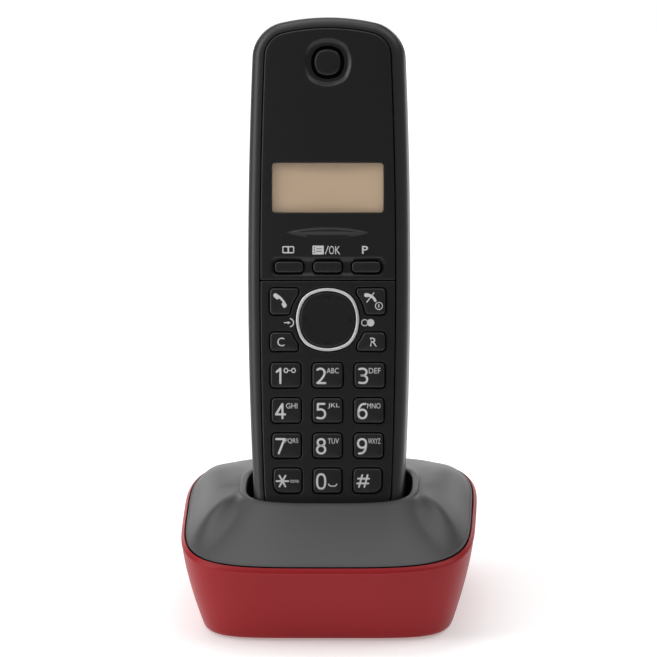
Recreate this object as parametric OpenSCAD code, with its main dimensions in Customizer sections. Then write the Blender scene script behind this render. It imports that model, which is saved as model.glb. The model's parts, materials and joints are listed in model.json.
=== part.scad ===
// Cordless telephone standing in its charging base.
// Millimetres, +Z up, the keypad faces -Y. The origin is on the table, under the middle of the whole phone.
// The handset is drawn in its own frame, x across, y back from its front face, z up its length from its
// bottom end. dock() leans that frame back and sets it in the base.

/* [Base] */
// Width of the base at its rim
base_w = 87.8; // [87:0.2:90]
// Depth of the base at its rim
base_d = 86; // [85:0.5:90]
// Height of the rim above the table at the middle of the base
rim_h = 27.9; // [27:0.1:29]
// How much the rim climbs towards the back, in millimetres per millimetre
rim_climb = 0.065; // [0.05:0.005:0.07]
// Wall thickness of the two base casings
base_wall = 2.2; // [1.8:0.1:2.4]
// How far the side walls draw in from the rim to the table
side_draw = 6.5; // [5.5:0.1:7]
// How far the front and back walls draw in from the rim to the table
front_draw = 7.3; // [6.5:0.1:8]
// Height of the collar around the handset, at the middle of the base
collar_h = 36.6; // [36:0.1:37]
// Width of the slot that holds the handset
slot_w = 49.4; // [49.4:0.2:52]
// Depth of the slot that holds the handset
slot_d = 33.2; // [33.2:0.2:35]
// How far the rubber feet stand out under the base
foot_stand = 0.6; // [0.4:0.1:1]

/* [Handset] */
// Length of the handset
hs_l = 152; // [150:1:158]
// Width of the handset
hs_w = 48; // [47:0.5:48]
// Depth of the handset's casing, without the battery cover
hs_d = 28.2; // [28:0.1:28.4]
// Lean of the docked handset from the vertical, in degrees
lean = 18; // [17:0.5:19]
// Radius of the handset's two upper corners, seen from the front
hs_corner = 11; // [9:0.5:12]
// Radius of its two lower corners
foot_corner = 8; // [7:0.5:10]
// Radius of the crown across the front face
crown_r = 168; // [160:5:220]
// Radius of the crown across the back
back_r = 120; // [110:5:160]
// Wall thickness of the handset's rear shell
hs_wall = 2; // [1.6:0.1:2.2]
// Thickness of the front panels at their middle
panel_t = 2.2; // [2:0.1:2.2]
// Width of the border that the rear shell shows around the front panels
border_w = 3.9; // [3.5:0.1:4.2]
// Height of the joint between the two front panels
split_z = 73.4; // [73:0.1:73.6]

/* [Keys] */
// Width of a number key in the top row
key_w = 9; // [8.8:0.1:9.4]
// Height of a number key
key_h = 7.4; // [7:0.1:7.8]
// Distance between the rows of number keys
row_pitch = 10.5; // [10.3:0.1:10.6]
// Gap around every key
key_gap = 0.35; // [0.2:0.05:0.4]
// How far the keys stand out of the panel
key_stand = 0.35; // [0.2:0.05:0.5]
// Width across the navigation pad
nav_w = 16.5; // [16:0.1:16.6]

/* [Hidden] */
// Screen resolution of the true circles, and of the large crown cylinders.
$fn = 48;
crown_fn = 256;
// Steps along each straight stretch and each corner of a bowed outline.
side_steps = 6;
corner_steps = 6;
// Points around one ring of a base casing.
base_steps = 72;
// Overshoot that keeps a cut clear of the face that it starts from.
over = 1;

// Base, derived.
base_a = base_w / 2;
base_b = base_d / 2;
lip_w = 1.1;
rim_gap = 0.3;
slot_a = slot_w / 2;
slot_b = slot_d / 2;
slot_y = 2.4;
slot_power = 3.45;
collar_climb = 0.018;
bead_w = 2.4;
bead_drop = 0.9;
bead_front_drop = 0.3;
// How far the deck's edge stands out of the plane of the rim.
deck_proud = 0.3;
rim_power = 4;
foot_power = 5.4;
wall_power = 1.37;
floor_top = foot_stand + base_wall;
shell_seat = 3.6;

// Handset, derived. dock_y and dock_z place the bottom edge of the handset's front face.
dock_y = -14.6;
dock_z = 28.7;
hs_half = hs_w / 2;
hs_mid = hs_l / 2;
hs_bow = 1.3;
foot_bow = 1.8;
hs_edge = 5;
rim_edge = 3;
rim_back = 0.4;
seam = 0.3;
straight_low = 22;
straight_high = 84;
taper_low = 0.0037;
taper_high = 0.0007;
ledge = 2.7;
end_border = border_w - 0.55;
panel_corner = hs_corner - border_w;
panel_foot_corner = 4.8;

// Battery compartment, from its lower to its upper end, and the cover that closes it.
bay = [31.7, 81.3];
bay_half = 11.8;
bay_floor = 15.7;
bay_wall = 1.2;
cell_r = 5.2;
cell_l = 44.5;
cell_x = 5.5;
cell_y = bay_floor + cell_r + 0.2;
cover_z = [30, 84];
cover_half = 19;
cover_gap = 0.2;
cover_t = 1.6;

// Layers behind the front panels, as depths from the front face.
flange = [2.35, 2.85];
mat = [3.9, 4.9];
dome = [5.05, 5.35];
board = [5.4, 6.6];

// Middle of the navigation pad, of the earpiece and of the display.
nav_z = 61.7;
ear_z = 138.5;
lcd = [33.5, 15];
lcd_z = 101.1;
ringer_z = 116;
nav_ring_w = 18.85;
nav_ring_t = 0.95;
pivot_depth = 2.8;

// Keys: name, centre x, centre z, width, height, corner radius.
row_x = [12.5, 12.3, 12.2, 11.9];
row_z = 45.1;
// How much narrower each row of number keys is than the row above it.
key_narrow = 0.2;
number_names = [["key_1", "key_2", "key_3"], ["key_4", "key_5", "key_6"],
                ["key_7", "key_8", "key_9"], ["key_star", "key_0", "key_hash"]];
number_keys = [for (r = [0:3], c = [0:2])
    [number_names[r][c], (c - 1) * row_x[r], row_z - r * row_pitch, key_w - r * key_narrow, key_h, 1.5]];
soft_names = ["softkey_left", "softkey_middle", "softkey_right"];
soft_keys = [for (c = [0:2]) [soft_names[c], (c - 1) * 11.5, 77.4, 8.5, 3.3, 1.2]];
// The four keys around the pad are cut round by a circle that keeps them off its ring.
corner_keys = [["talk_key", -12.95, 67.15, 8.6, 7.9, 1.3], ["off_key", 12.95, 67.15, 8.6, 7.9, 1.3],
               ["clear_key", -12.95, 55.1, 8.4, 5.6, 1.3], ["recall_key", 12.95, 55.1, 8.4, 5.6, 1.3]];
corner_cut_r = 11.5;
all_keys = concat(soft_keys, corner_keys, number_keys);

screw_spots = [[-15, 134], [15, 134], [-15, 20], [15, 20]];
base_screw_spots = [[-32, 14], [32, 14], [-32, -12], [32, -12]];
post_tops = [34.5, 34.5, 33.5, 33.5];
foot_spots = [[-26, 25], [26, 25], [-26, -25], [26, -25]];
contact_spots = [-9, 9];
contact_depth = 14;

// Sockets in the back wall of the base: centre x, and height of the middle of the mouth.
dc_x = -17;
line_x = 16;
socket_z = 12.2;
socket_face = 36.2;
socket_back = 23;
board_z = [5.4, 7];

function signed_power(v, p) = sign(v) * pow(abs(v), p);
function smooth_step(from, to, v) =
    let (q = min(1, max(0, (v - from) / (to - from)))) q * q * (3 - 2 * q);

// A superellipse of half-sizes a and b, counter-clockwise from +x.
function superellipse(a, b, power) =
    [for (i = [0:base_steps - 1]) let (t = 360 * i / base_steps)
        [a * signed_power(cos(t), 2 / power), b * signed_power(sin(t), 2 / power)]];

// A round-cornered outline of half-sizes a and b whose sides bow out by bow_a and bow_b, all arcs tangent.
function bow_radius(reach, r, bow) = (reach * reach + pow(r + bow, 2) - r * r) / (2 * bow);
function arc(centre, r, from, to, steps) =
    [for (i = [0:steps - 1]) let (t = from + (to - from) * i / steps) centre + r * [cos(t), sin(t)]];
function quarter(a, b, r, bow_a, bow_b, sides, corners) =
    let (cx = a - r - bow_a,
         cy = b - r - bow_b,
         ra = bow_radius(cy, r, bow_a),
         rb = bow_radius(cx, r, bow_b),
         t_a = atan2(cy, cx - a + ra),
         t_b = atan2(cy - b + rb, cx))
    concat(arc([a - ra, 0], ra, 0, t_a, sides), arc([cx, cy], r, t_a, t_b, corners),
           arc([0, b - rb], rb, t_b, 90, sides), [[0, b]]);
// The whole outline from a quarter for its upper half and one for its lower half, of equal lengths.
function around(up, low) =
    let (last = len(up) - 1)
    concat(up, [for (i = [last - 1:-1:0]) [-up[i].x, up[i].y]],
           [for (i = [1:last]) [-low[i].x, -low[i].y]], [for (i = [last - 1:-1:1]) [low[i].x, -low[i].y]]);
function bowed(a, b, r, bow_a = 0.05, bow_b = 0.05, sides = side_steps, corners = corner_steps) =
    let (q = quarter(a, b, r, bow_a, bow_b, sides, corners)) around(q, q);
// The small round-cornered outline of a key, with straight sides.
function key_outline(w, h, r) = bowed(w / 2, h / 2, r, 0.02, 0.02, 1, 4);

// A closed solid through a stack of rings that all have the same number of points.
module loft(rings) {
    n = len(rings[0]);
    last = len(rings) - 1;
    sides = [for (k = [0:last - 1], i = [0:n - 1]) let (j = (i + 1) % n)
        each [[k * n + i, (k + 1) * n + i, (k + 1) * n + j], [k * n + i, (k + 1) * n + j, k * n + j]]];
    polyhedron(points = [for (ring = rings) each ring],
        faces = concat([[for (i = [0:n - 1]) i]], sides, [[for (i = [n - 1:-1:0]) last * n + i]]));
}

// ---- Placement ----

function docked_point(p) = [p.x, dock_y + p.y * cos(lean) + p.z * sin(lean),
                            dock_z - p.y * sin(lean) + p.z * cos(lean)];
module placed() {
    translate([0, shift_y, 0]) children();
}
module dock() {
    placed() translate([0, dock_y, dock_z]) rotate([-lean, 0, 0]) children();
}
// Extrudes an outline drawn across and up the handset, from depth d over thickness t.
module layer(d, t) {
    translate([0, d, 0]) rotate([90, 0, 0]) mirror([0, 0, 1]) linear_extrude(t) children();
}
module depth_cylinder(x, z, r, d, t) {
    translate([x, d, z]) rotate([-90, 0, 0]) cylinder(r = r, h = t);
}
// The round body that gives the front face its crown, grown by rise.
module crown_body(rise = 0) {
    translate([0, crown_r, -over]) cylinder(r = crown_r + rise, h = hs_l + 2 * over, $fn = crown_fn);
}
function crown(x) = crown_r - sqrt(crown_r * crown_r - x * x);

// ---- Base casings ----

// Height h runs from 0 at the underside to 1 at the rim. The walls draw in more and more towards the table.
function wall_ring(h, inset) =
    let (draw = pow(1 - h, wall_power),
         z = foot_stand + (rim_h - foot_stand) * h)
    [for (p = superellipse(base_a - side_draw * draw - inset, base_b - front_draw * draw - inset,
                           foot_power + (rim_power - foot_power) * h))
        [p.x, p.y, z + rim_climb * h * p.y]];
function rim_ring(inset, drop) =
    [for (p = superellipse(base_a - inset, base_b - inset, rim_power))
        [p.x, p.y, rim_h - drop + rim_climb * p.y]];
function flat_ring(a, b, z) = [for (p = superellipse(a, b, foot_power)) [p.x, p.y, z]];

shell_rings = concat(
    [flat_ring(base_a - side_draw - 0.2, base_b - front_draw - 0.56, foot_stand)],
    [for (h = [0.03, 0.14, 0.28, 0.44, 0.62, 0.8]) wall_ring(h, 0)],
    [rim_ring(0, 1.2), rim_ring(0.07, 0.5), rim_ring(0.35, 0.1)],
    [rim_ring(lip_w - 0.3, 0), rim_ring(lip_w, 0.2)],
    [rim_ring(lip_w, shell_seat), rim_ring(base_wall, shell_seat)],
    [for (h = [0.62, 0.36, 0.16]) wall_ring(h, base_wall)],
    [flat_ring(base_a - 9.2, base_b - 10.4, floor_top)]);

module base_lower_shell() color([0.6, 0.17, 0.18]) placed() difference() {
    union() {
        loft(shell_rings);
        for (s = base_screw_spots) translate([s.x, s.y, floor_top - over]) cylinder(r = 3.6, h = 10.2);
    }
    for (s = foot_spots) translate([s.x, s.y, 0]) cylinder(r = 5.2, h = foot_stand + 0.6);
    for (s = base_screw_spots) translate([s.x, s.y, 0]) {
        cylinder(r = 3, h = 3.2);
        cylinder(r = 1.5, h = 20);
    }
    translate([dc_x - 5.2, socket_back + 3, 7.1]) cube([10.4, 20, 11.2]);
    translate([line_x - 7.2, socket_back + 3, 7.1]) cube([14.4, 20, 12.2]);
    translate([0, socket_face, socket_z]) rotate([-90, 0, 0]) translate([0, 0, -8]) cylinder(r = 4.3, h = 20);
}

// The collar's plane climbs too, but less than the rim's. The bead is the rounded lip around the slot.
function collar_ring(grow, drop) =
    [for (p = superellipse(slot_a + grow, slot_b + grow, slot_power))
        [p.x, p.y + slot_y, collar_h - drop + collar_climb * (p.y + slot_y)]];
function edge_ring(inset, drop) = rim_ring(lip_w + rim_gap + inset, drop);
// t is the angle around a ring. From the front it grows to 180 at the back, alike on both sides.
function from_front(t) = abs((t + 270) % 360 - 180);
// The bead is narrow and steep at the sides and the back, and runs smoothly into the ramp in front.
function bead_ring(grow, side_drop, front_drop) =
    let (ring = collar_ring(grow, 0))
    [for (i = [0:base_steps - 1])
        let (side = smooth_step(56, 84, from_front(360 * i / base_steps)))
        [ring[i].x, ring[i].y, ring[i].z - side_drop * side - front_drop * (1 - side)]];
// Between collar and rim the deck is a straight ramp in front, full at the sides, and less full at the back.
// s runs from 0 at the collar to 1 at the rim. The side's fullness starts at a crease, which runs from the
// collar's front corners towards the rim. The ramp sinks a little towards it.
valley_front = 22;
valley_back = 8;
function deck_swell(t, s) =
    let (u = from_front(t),
         beyond = u - 59 - 14 * exp(-5 * s),
         full = 3.1 * smooth_step(-15, 17, beyond) - 1.9 * smooth_step(103, 146, u),
         skew = 1.5 * smooth_step(75, 120, u),
         valley = 3 * s * pow(1 - s, 2) * exp(-pow(beyond / (beyond < 0 ? valley_front : valley_back), 2)))
    full * 4 * s * (1 - s) * (1 + skew * (s - 0.5)) - valley;
function deck_ring(s, drop) =
    let (from = bead_ring(bead_w, bead_drop, bead_front_drop), to = edge_ring(0.5, -deck_proud))
    [for (i = [0:base_steps - 1])
        let (p = from[i] * (1 - s) + to[i] * s)
        [p.x, p.y, p.z + deck_swell(360 * i / base_steps, s) - drop]];
// Rings of the well lie square to the handset.
function well_ring(a, b, power, z) =
    [for (p = superellipse(a, b, power)) docked_point([p.x, p.y + hs_d / 2, z])];

deck_rings = concat(
    [well_ring(24.8, 17.3, 5, -2.5), collar_ring(2.1, 4.2)],
    [for (s = [0.12, 0.35, 0.6, 0.78]) deck_ring(s, 2.4)],
    [edge_ring(2, 3.3), edge_ring(0, 3.3), edge_ring(0, 0.3), edge_ring(0.15, -0.1)],
    [for (s = [1, 0.9, 0.76, 0.6, 0.45, 0.3, 0.16, 0.07, 0]) deck_ring(s, 0)],
    [bead_ring(2.05, 0.36, 0.2), bead_ring(1.7, 0.03, 0.1), bead_ring(1, 0, 0.08), bead_ring(0.35, 0.08, 0.55),
     bead_ring(0, 0.9, 2)],
    [well_ring(22.8, 15.3, 5, -0.5)]);

module base_deck() color([0.27, 0.27, 0.28]) placed() difference() {
    union() {
        loft(deck_rings);
        for (i = [0:3]) translate([base_screw_spots[i].x, base_screw_spots[i].y, 12.4])
            cylinder(r = 3, h = post_tops[i] - 12.4);
    }
    for (s = base_screw_spots) translate([s.x, s.y, 12]) cylinder(r = 1.4, h = 7);
    translate([0, dock_y, dock_z]) rotate([-lean, 0, 0])
        for (x = contact_spots) translate([x, contact_depth, -6]) cylinder(r = 1.8, h = 8);
}

module rubber_feet() color([0.12, 0.12, 0.12]) placed()
    for (s = foot_spots) translate([s.x, s.y, 0]) cylinder(r = 5, h = foot_stand + 0.55);

module base_screws() color([0.7, 0.7, 0.72]) placed()
    for (s = base_screw_spots) translate([s.x, s.y, 0]) difference() {
        union() {
            translate([0, 0, 1.4]) cylinder(r = 2.7, h = 1.7);
            translate([0, 0, 3]) cylinder(r = 1.3, h = 15);
        }
        for (turn = [0, 90]) rotate(turn) translate([-1.8, -0.35, 1]) cube([3.6, 0.7, 1.3]);
    }

// ---- Electronics of the base ----

module base_pcb() color([0.1, 0.35, 0.2]) placed() {
    translate([-26, -14, board_z[0]]) cube([52, 47, board_z[1] - board_z[0]]);
    for (x = [-18, 18], y = [-8, 20])
        translate([x, y, floor_top]) cylinder(r = 2, h = board_z[0] - floor_top + 0.1);
}
module base_rf_shield() color([0.75, 0.75, 0.77]) placed()
    translate([-12, -9, board_z[1] + 0.05]) cube([24, 18, 3]);
module line_transformer() color([0.85, 0.7, 0.3]) placed() {
    translate([13.5, 10.5, board_z[1] + 0.05]) cube([10, 9, 7]);
    translate([15, 12, board_z[1] + 7]) cube([7, 6, 1]);
}
module base_capacitors() color([0.15, 0.2, 0.4]) placed()
    for (x = [-21, -12]) translate([x, 15, board_z[1] + 0.05]) cylinder(r = 3.2, h = 7);

module dc_jack() color([0.08, 0.08, 0.08]) placed() difference() {
    translate([dc_x - 5, socket_back, board_z[1] + 0.2]) cube([10, socket_face - socket_back, 11]);
    translate([dc_x, socket_back + 3, socket_z]) rotate([-90, 0, 0]) cylinder(r = 2.9, h = 20);
}
module dc_jack_pin() color([0.8, 0.75, 0.6]) placed()
    translate([dc_x, socket_back + 3.05, socket_z]) rotate([-90, 0, 0]) cylinder(r = 0.85, h = 9.4);
module line_jack() color([0.1, 0.1, 0.1]) placed() difference() {
    translate([line_x - 7, socket_back, board_z[1] + 0.2]) cube([14, socket_face - socket_back, 12]);
    translate([line_x - 4.9, socket_back + 2, 10.2]) cube([9.8, 20, 6.8]);
    translate([line_x - 3.1, socket_back + 2, 8.4]) cube([6.2, 20, 3]);
}
module line_jack_contacts() color([0.85, 0.7, 0.3]) placed()
    for (i = [0:3]) translate([line_x - 1.9 + 1.1 * i, socket_back + 2.2, 16.2]) cube([0.5, 8, 0.5]);

module page_button() color([0.2, 0.2, 0.2]) placed() translate([0, 0, socket_z]) rotate([-90, 0, 0]) {
    translate([0, 0, 33.9]) cylinder(r = 4, h = 6);
    translate([0, 0, 33.1]) cylinder(r = 5, h = 0.8);
}
module page_switch() color([0.1, 0.1, 0.1]) placed() {
    translate([-3, 27.5, board_z[1] + 0.05]) cube([6, 3.4, 8]);
    translate([0, 30.8, socket_z]) rotate([-90, 0, 0]) cylinder(r = 1.2, h = 1.1);
}

// A sprung pin with a rounded tip, which stands up through the floor of the well.
module charge_contact(x) color([0.85, 0.82, 0.75]) dock() translate([x, contact_depth, 0]) {
    translate([0, 0, -4.4]) cylinder(r = 1.5, h = 4.2);
    translate([0, 0, -0.3]) cylinder(r1 = 1.5, r2 = 0.8, h = 0.6);
    translate([0, 0, -3.6]) cylinder(r = 2.4, h = 0.6);
}
module charge_contact_left() charge_contact(contact_spots[0]);
module charge_contact_right() charge_contact(contact_spots[1]);

// ---- Handset casing ----

// An outline with its own corner radius at the bottom, where the sides also bow by low_bow.
function tall_outline(a, b, r, low_r, low_bow) =
    [for (p = around(quarter(a, b, r, hs_bow, hs_bow, side_steps, corner_steps),
                     quarter(a, b, low_r, low_bow, hs_bow, side_steps, corner_steps))) [p.x, p.y + hs_mid]];
function hs_outline(inset) =
    tall_outline(hs_half - inset, hs_mid - inset, hs_corner - inset, foot_corner - inset, foot_bow);
function panel_outline(grow) =
    tall_outline(hs_half - border_w + grow, hs_mid - end_border + grow, panel_corner + grow,
                 panel_foot_corner + grow, hs_bow);
// Depth of the back: straight along the battery cover, drawn in towards both ends, and crowned across.
function back_depth(x, z) =
    hs_d - taper_low * pow(max(0, straight_low - z), 2) - taper_high * pow(max(0, z - straight_high), 2)
    - x * x / (2 * back_r);
function front_ring(outline, depth) = [for (p = outline) [p.x, depth + crown(p.x), p.y]];
function back_ring(inset, rise, shrink = 1) =
    [for (p = hs_outline(inset)) let (x = p.x * shrink, z = hs_mid + (p.y - hs_mid) * shrink)
        [x, back_depth(x, z) - rise, z]];
// How far a rounded edge of radius r has fallen away at an inset from its outer side.
function edge_fall(r, inset) = r - sqrt(max(0, r * r - pow(r - inset, 2)));

inner_edge = hs_edge - hs_wall;
rear_rings = concat(
    [for (s = [0.05, 0.3, 0.55, 0.8]) back_ring(hs_edge, 0, s)],
    [for (i = [hs_edge, 3, 1.5, 0.5, 0]) back_ring(i, edge_fall(hs_edge, i))],
    [for (i = [0, 0.3, 1, 2, rim_edge]) front_ring(hs_outline(i), rim_back + edge_fall(rim_edge, i))],
    [front_ring(panel_outline(seam), rim_back), front_ring(panel_outline(seam), ledge),
     front_ring(hs_outline(hs_wall), ledge)],
    [for (i = [0, 0.7, inner_edge]) back_ring(hs_wall + i, hs_wall + edge_fall(inner_edge, i))],
    [for (s = [0.8, 0.55, 0.3, 0.05]) back_ring(hs_edge, hs_wall, s)]);

// Moves the base's own middle so that the whole phone stands centred on the origin.
phone_back = max([for (ring = rear_rings, p = ring) docked_point(p).y]);
shift_y = (base_b - phone_back) / 2;

module terminal_pair(grow) {
    for (x = contact_spots) translate([x - 2 - grow, 9 - grow, 0.5 - over * sign(grow)])
        cube([4 + 2 * grow, 10 + 2 * grow, 0.8 + (over + grow) * sign(grow)]);
}

module rear_shell() color([0.17, 0.17, 0.17]) dock() difference() {
    union() {
        loft(rear_rings);
        translate([-bay_half - bay_wall, bay_floor - bay_wall, bay[0] - bay_wall])
            cube([2 * (bay_half + bay_wall), 12, bay[1] - bay[0] + 2 * bay_wall]);
        for (s = screw_spots) depth_cylinder(s.x, s.y, 3.2, 12, 13.2);
    }
    translate([-bay_half, bay_floor, bay[0]]) cube([2 * bay_half, 30, bay[1] - bay[0]]);
    for (s = screw_spots) {
        depth_cylinder(s.x, s.y, 2.5, 20.35, 12);
        depth_cylinder(s.x, s.y, 1.4, 11, 20);
    }
    for (i = [0:6]) translate([0, 0, ringer_z]) rotate([0, 60 * i, 0])
        depth_cylinder(i == 0 ? 0 : 3.2, 0, 0.7, 20, 10);
    terminal_pair(0.1);
}

module panel_shape(low, high) {
    intersection() {
        polygon(panel_outline(0));
        translate([-hs_half, low]) square([hs_w, high - low]);
    }
}
module outline_at(x, z, points) {
    translate([x, z]) polygon(points);
}
module key_shape(key, grow = 0) {
    difference() {
        outline_at(key[1], key[2], key_outline(key[3] + 2 * grow, key[4] + 2 * grow, key[5] + grow));
        if (len([for (k = corner_keys) if (k[0] == key[0]) k]) > 0)
            translate([0, nav_z]) circle(r = corner_cut_r - grow);
    }
}

// The earpiece is a square dish with a raised middle, and a sound slot around that, bridged at four places.
ear_w = 14.6;
ear_boss = 7.5;
ear_slot = 9.9;
// The grip under the display is a raised lens.
grip_z = 87.6;
grip_rise = 0.4;
module ear_square(w) {
    outline_at(0, ear_z, bowed(w / 2, w / 2, w * 0.3, w * 0.04, w * 0.04, 2, 5));
}
module upper_panel() color([0.13, 0.13, 0.14]) dock() {
    intersection() {
        upper_plate();
        crown_body();
    }
    intersection() {
        layer(-over, over + 0.5) lens(grip_z, 23.3, 3.4);
        crown_body(grip_rise);
    }
}
module upper_plate() {
    difference() {
        layer(0, panel_t) difference() {
            panel_shape(split_z + seam / 2, hs_l);
            outline_at(0, lcd_z, key_outline(lcd.x, lcd.y, 1));
            for (key = soft_keys) key_shape(key, key_gap);
            difference() {
                ear_square(ear_slot);
                ear_square(ear_boss);
                for (turn = [0, 90]) translate([0, ear_z]) rotate(turn) square([ear_w, 1.2], center = true);
            }
        }
        layer(-over, over + 0.9) difference() {
            ear_square(ear_w);
            ear_square(ear_boss);
        }
        layer(-over, over + 0.75) outline_at(0, 77.55, key_outline(34.2, 5.7, 2));
    }
}
// A lens, pointed at its left and right ends.
module lens(z, w, h) {
    r = (w * w + h * h) / (4 * h);
    intersection() {
        translate([0, z + r - h / 2]) circle(r = r, $fn = crown_fn);
        translate([0, z - r + h / 2]) circle(r = r, $fn = crown_fn);
    }
}

module nav_outline(w) {
    outline_at(0, nav_z, bowed(w / 2, w / 2, w * 0.34, w * 0.03, w * 0.03, 3, 8));
}
module keypad_panel() color([0.11, 0.11, 0.115]) dock() intersection() {
    layer(0, panel_t) difference() {
        panel_shape(0, split_z - seam / 2);
        for (key = concat(corner_keys, number_keys)) key_shape(key, key_gap);
        nav_outline(nav_ring_w + 0.2);
        translate([0, 6.4]) circle(r = 0.6);
    }
    crown_body();
}
module nav_ring() color([0.72, 0.73, 0.74]) dock() layer(-0.1, 2) difference() {
    nav_outline(nav_ring_w);
    nav_outline(nav_ring_w - 2 * nav_ring_t);
}
module display_window() color([0.8, 0.75, 0.65, 0.4]) dock()
    layer(1, 1) outline_at(0, lcd_z, key_outline(lcd.x - 0.2, lcd.y - 0.2, 0.9));

// The cover rides on the straight part of the back, so it can slide towards the bottom end.
module battery_cover() color([0.17, 0.17, 0.17]) dock() intersection() {
    difference() {
        translate([0, hs_d - back_r, 0])
            cylinder(r = back_r + cover_gap + cover_t, h = hs_l, $fn = crown_fn);
        translate([0, hs_d - back_r, -over])
            cylinder(r = back_r + cover_gap, h = hs_l + 2 * over, $fn = crown_fn);
    }
    layer(hs_d / 2, hs_d) outline_at(0, (cover_z[0] + cover_z[1]) / 2,
        key_outline(2 * cover_half, cover_z[1] - cover_z[0], 5));
}

// ---- Inside the handset ----

module lcd_module() color([0.72, 0.63, 0.5]) dock()
    layer(2.5, 1.6) outline_at(0, lcd_z, key_outline(37.4, 20, 0.5));
module lcd_backlight() color([0.9, 0.9, 0.9]) dock()
    layer(4.2, 1) outline_at(0, lcd_z, key_outline(36, 19, 0.5));
module earpiece_speaker() color([0.2, 0.2, 0.2]) dock() {
    depth_cylinder(0, ear_z, 9, 2.5, 2.6);
    depth_cylinder(0, ear_z, 5.5, 5, 2.4);
}
module ringer_speaker() color([0.2, 0.2, 0.2]) dock() {
    depth_cylinder(0, ringer_z, 7.5, 20, 3.6);
    depth_cylinder(0, ringer_z, 4.5, 17.5, 2.6);
}
module handset_pcb() color([0.1, 0.35, 0.2]) dock()
    layer(board[0], board[1] - board[0]) difference() {
        outline_at(0, 67.5, key_outline(39, 117, 4));
        for (z = [20, 100]) translate([0, z]) circle(r = 1.5);
    }
module handset_rf_shield() color([0.75, 0.75, 0.77]) dock()
    layer(board[1] + 0.05, 3) outline_at(0, 106, key_outline(26, 28, 1));
module keypad_mat() color([0.3, 0.3, 0.32]) dock()
    layer(mat[0], mat[1] - mat[0]) outline_at(0, 43.5, key_outline(38, 73, 3));
module key_domes() color([0.8, 0.8, 0.8]) dock()
    for (key = concat(corner_keys, number_keys))
        depth_cylinder(key[1], key[2], 2.2, dome[0], dome[1] - dome[0]);
module microphone() color([0.6, 0.6, 0.6]) dock() depth_cylinder(0, 6.4, 2.2, 2.5, 1.3);

module battery(x) color([0.3, 0.5, 0.65]) dock() translate([x, cell_y, 0]) {
    z = bay[1] - 1.9 - cell_l;
    translate([0, 0, z]) cylinder(r = cell_r, h = cell_l);
    translate([0, 0, z + cell_l]) cylinder(r = 1.9, h = 0.9);
}
module battery_1() battery(-cell_x);
module battery_2() battery(cell_x);
// A coil of wire swept along its helix with a six-sided section.
module helix_spring(r, wire_r, length, turns) {
    steps = 12 * turns;
    rings = [for (k = [steps:-1:0]) let (t = 30 * k, z = wire_r + (length - 2 * wire_r) * k / steps)
        [for (i = [0:5]) let (q = r + wire_r * cos(60 * i))
            [q * cos(t), q * sin(t), z + wire_r * sin(60 * i)]]];
    loft(rings);
}
module battery_springs() color([0.8, 0.8, 0.82]) dock()
    for (x = [-cell_x, cell_x]) translate([x, cell_y, bay[0] + 0.55]) {
        helix_spring(3, 0.3, 2.1, 3);
        translate([-4, -4, -0.45]) cube([8, 8, 0.4]);
    }
module battery_plates() color([0.8, 0.8, 0.82]) dock()
    for (x = [-cell_x, cell_x]) translate([x - 4, cell_y - 4, bay[1] - 0.8]) cube([8, 8, 0.5]);
module charge_terminals() color([0.85, 0.82, 0.75]) dock() terminal_pair(0);

module handset_screws() color([0.7, 0.7, 0.72]) dock() for (s = screw_spots) difference() {
    union() {
        depth_cylinder(s.x, s.y, 2.3, 20.4, 1.55);
        depth_cylinder(s.x, s.y, 1.2, 8.5, 12.2);
    }
    for (turn = [0, 90]) translate([s.x, 21, s.y]) rotate([0, turn, 0])
        translate([-1.5, 0, -0.3]) cube([3, 2, 0.6]);
}

// ---- Keys ----

module key_cap(key) color([0.15, 0.15, 0.16]) dock() {
    top = crown(key[1]) - key_stand;
    layer(top, flange[1] - top) key_shape(key);
    layer(flange[0], flange[1] - flange[0]) key_shape(key, 0.6);
}
module nav_key() color([0.12, 0.12, 0.13]) dock() {
    layer(0, 2) nav_outline(nav_w);
    depth_cylinder(0, nav_z, 1.4, 1.9, 0.55);
}
module nav_rocker() color([0.5, 0.5, 0.5]) dock() {
    depth_cylinder(0, nav_z, 4.5, pivot_depth - 0.2, 0.5);
    for (turn = [0:3]) translate([0, pivot_depth, nav_z]) rotate([0, 90 * turn, 0])
        translate([0, 0, 2.5]) cylinder(r = 0.3, h = 4);
}

base_lower_shell();
base_deck();
rubber_feet();
base_screws();
base_pcb();
base_rf_shield();
line_transformer();
base_capacitors();
dc_jack();
dc_jack_pin();
line_jack();
line_jack_contacts();
page_button();
page_switch();
charge_contact_left();
charge_contact_right();
rear_shell();
upper_panel();
keypad_panel();
nav_ring();
display_window();
lcd_module();
lcd_backlight();
earpiece_speaker();
handset_pcb();
handset_rf_shield();
keypad_mat();
key_domes();
microphone();
ringer_speaker();
battery_1();
battery_2();
battery_springs();
battery_plates();
battery_cover();
charge_terminals();
handset_screws();
nav_rocker();
nav_key();
for (key = all_keys) key_cap(key);
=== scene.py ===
"""Looks of a cordless phone in its charging base, built around its CAD frame. Lengths are in millimetres."""
import json
import math
from functools import partial

import bmesh
import bpy
import numpy as np
from mathutils import Matrix, Vector
from mathutils.bvhtree import BVHTree
from mathutils.geometry import delaunay_2d_cdt


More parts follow.
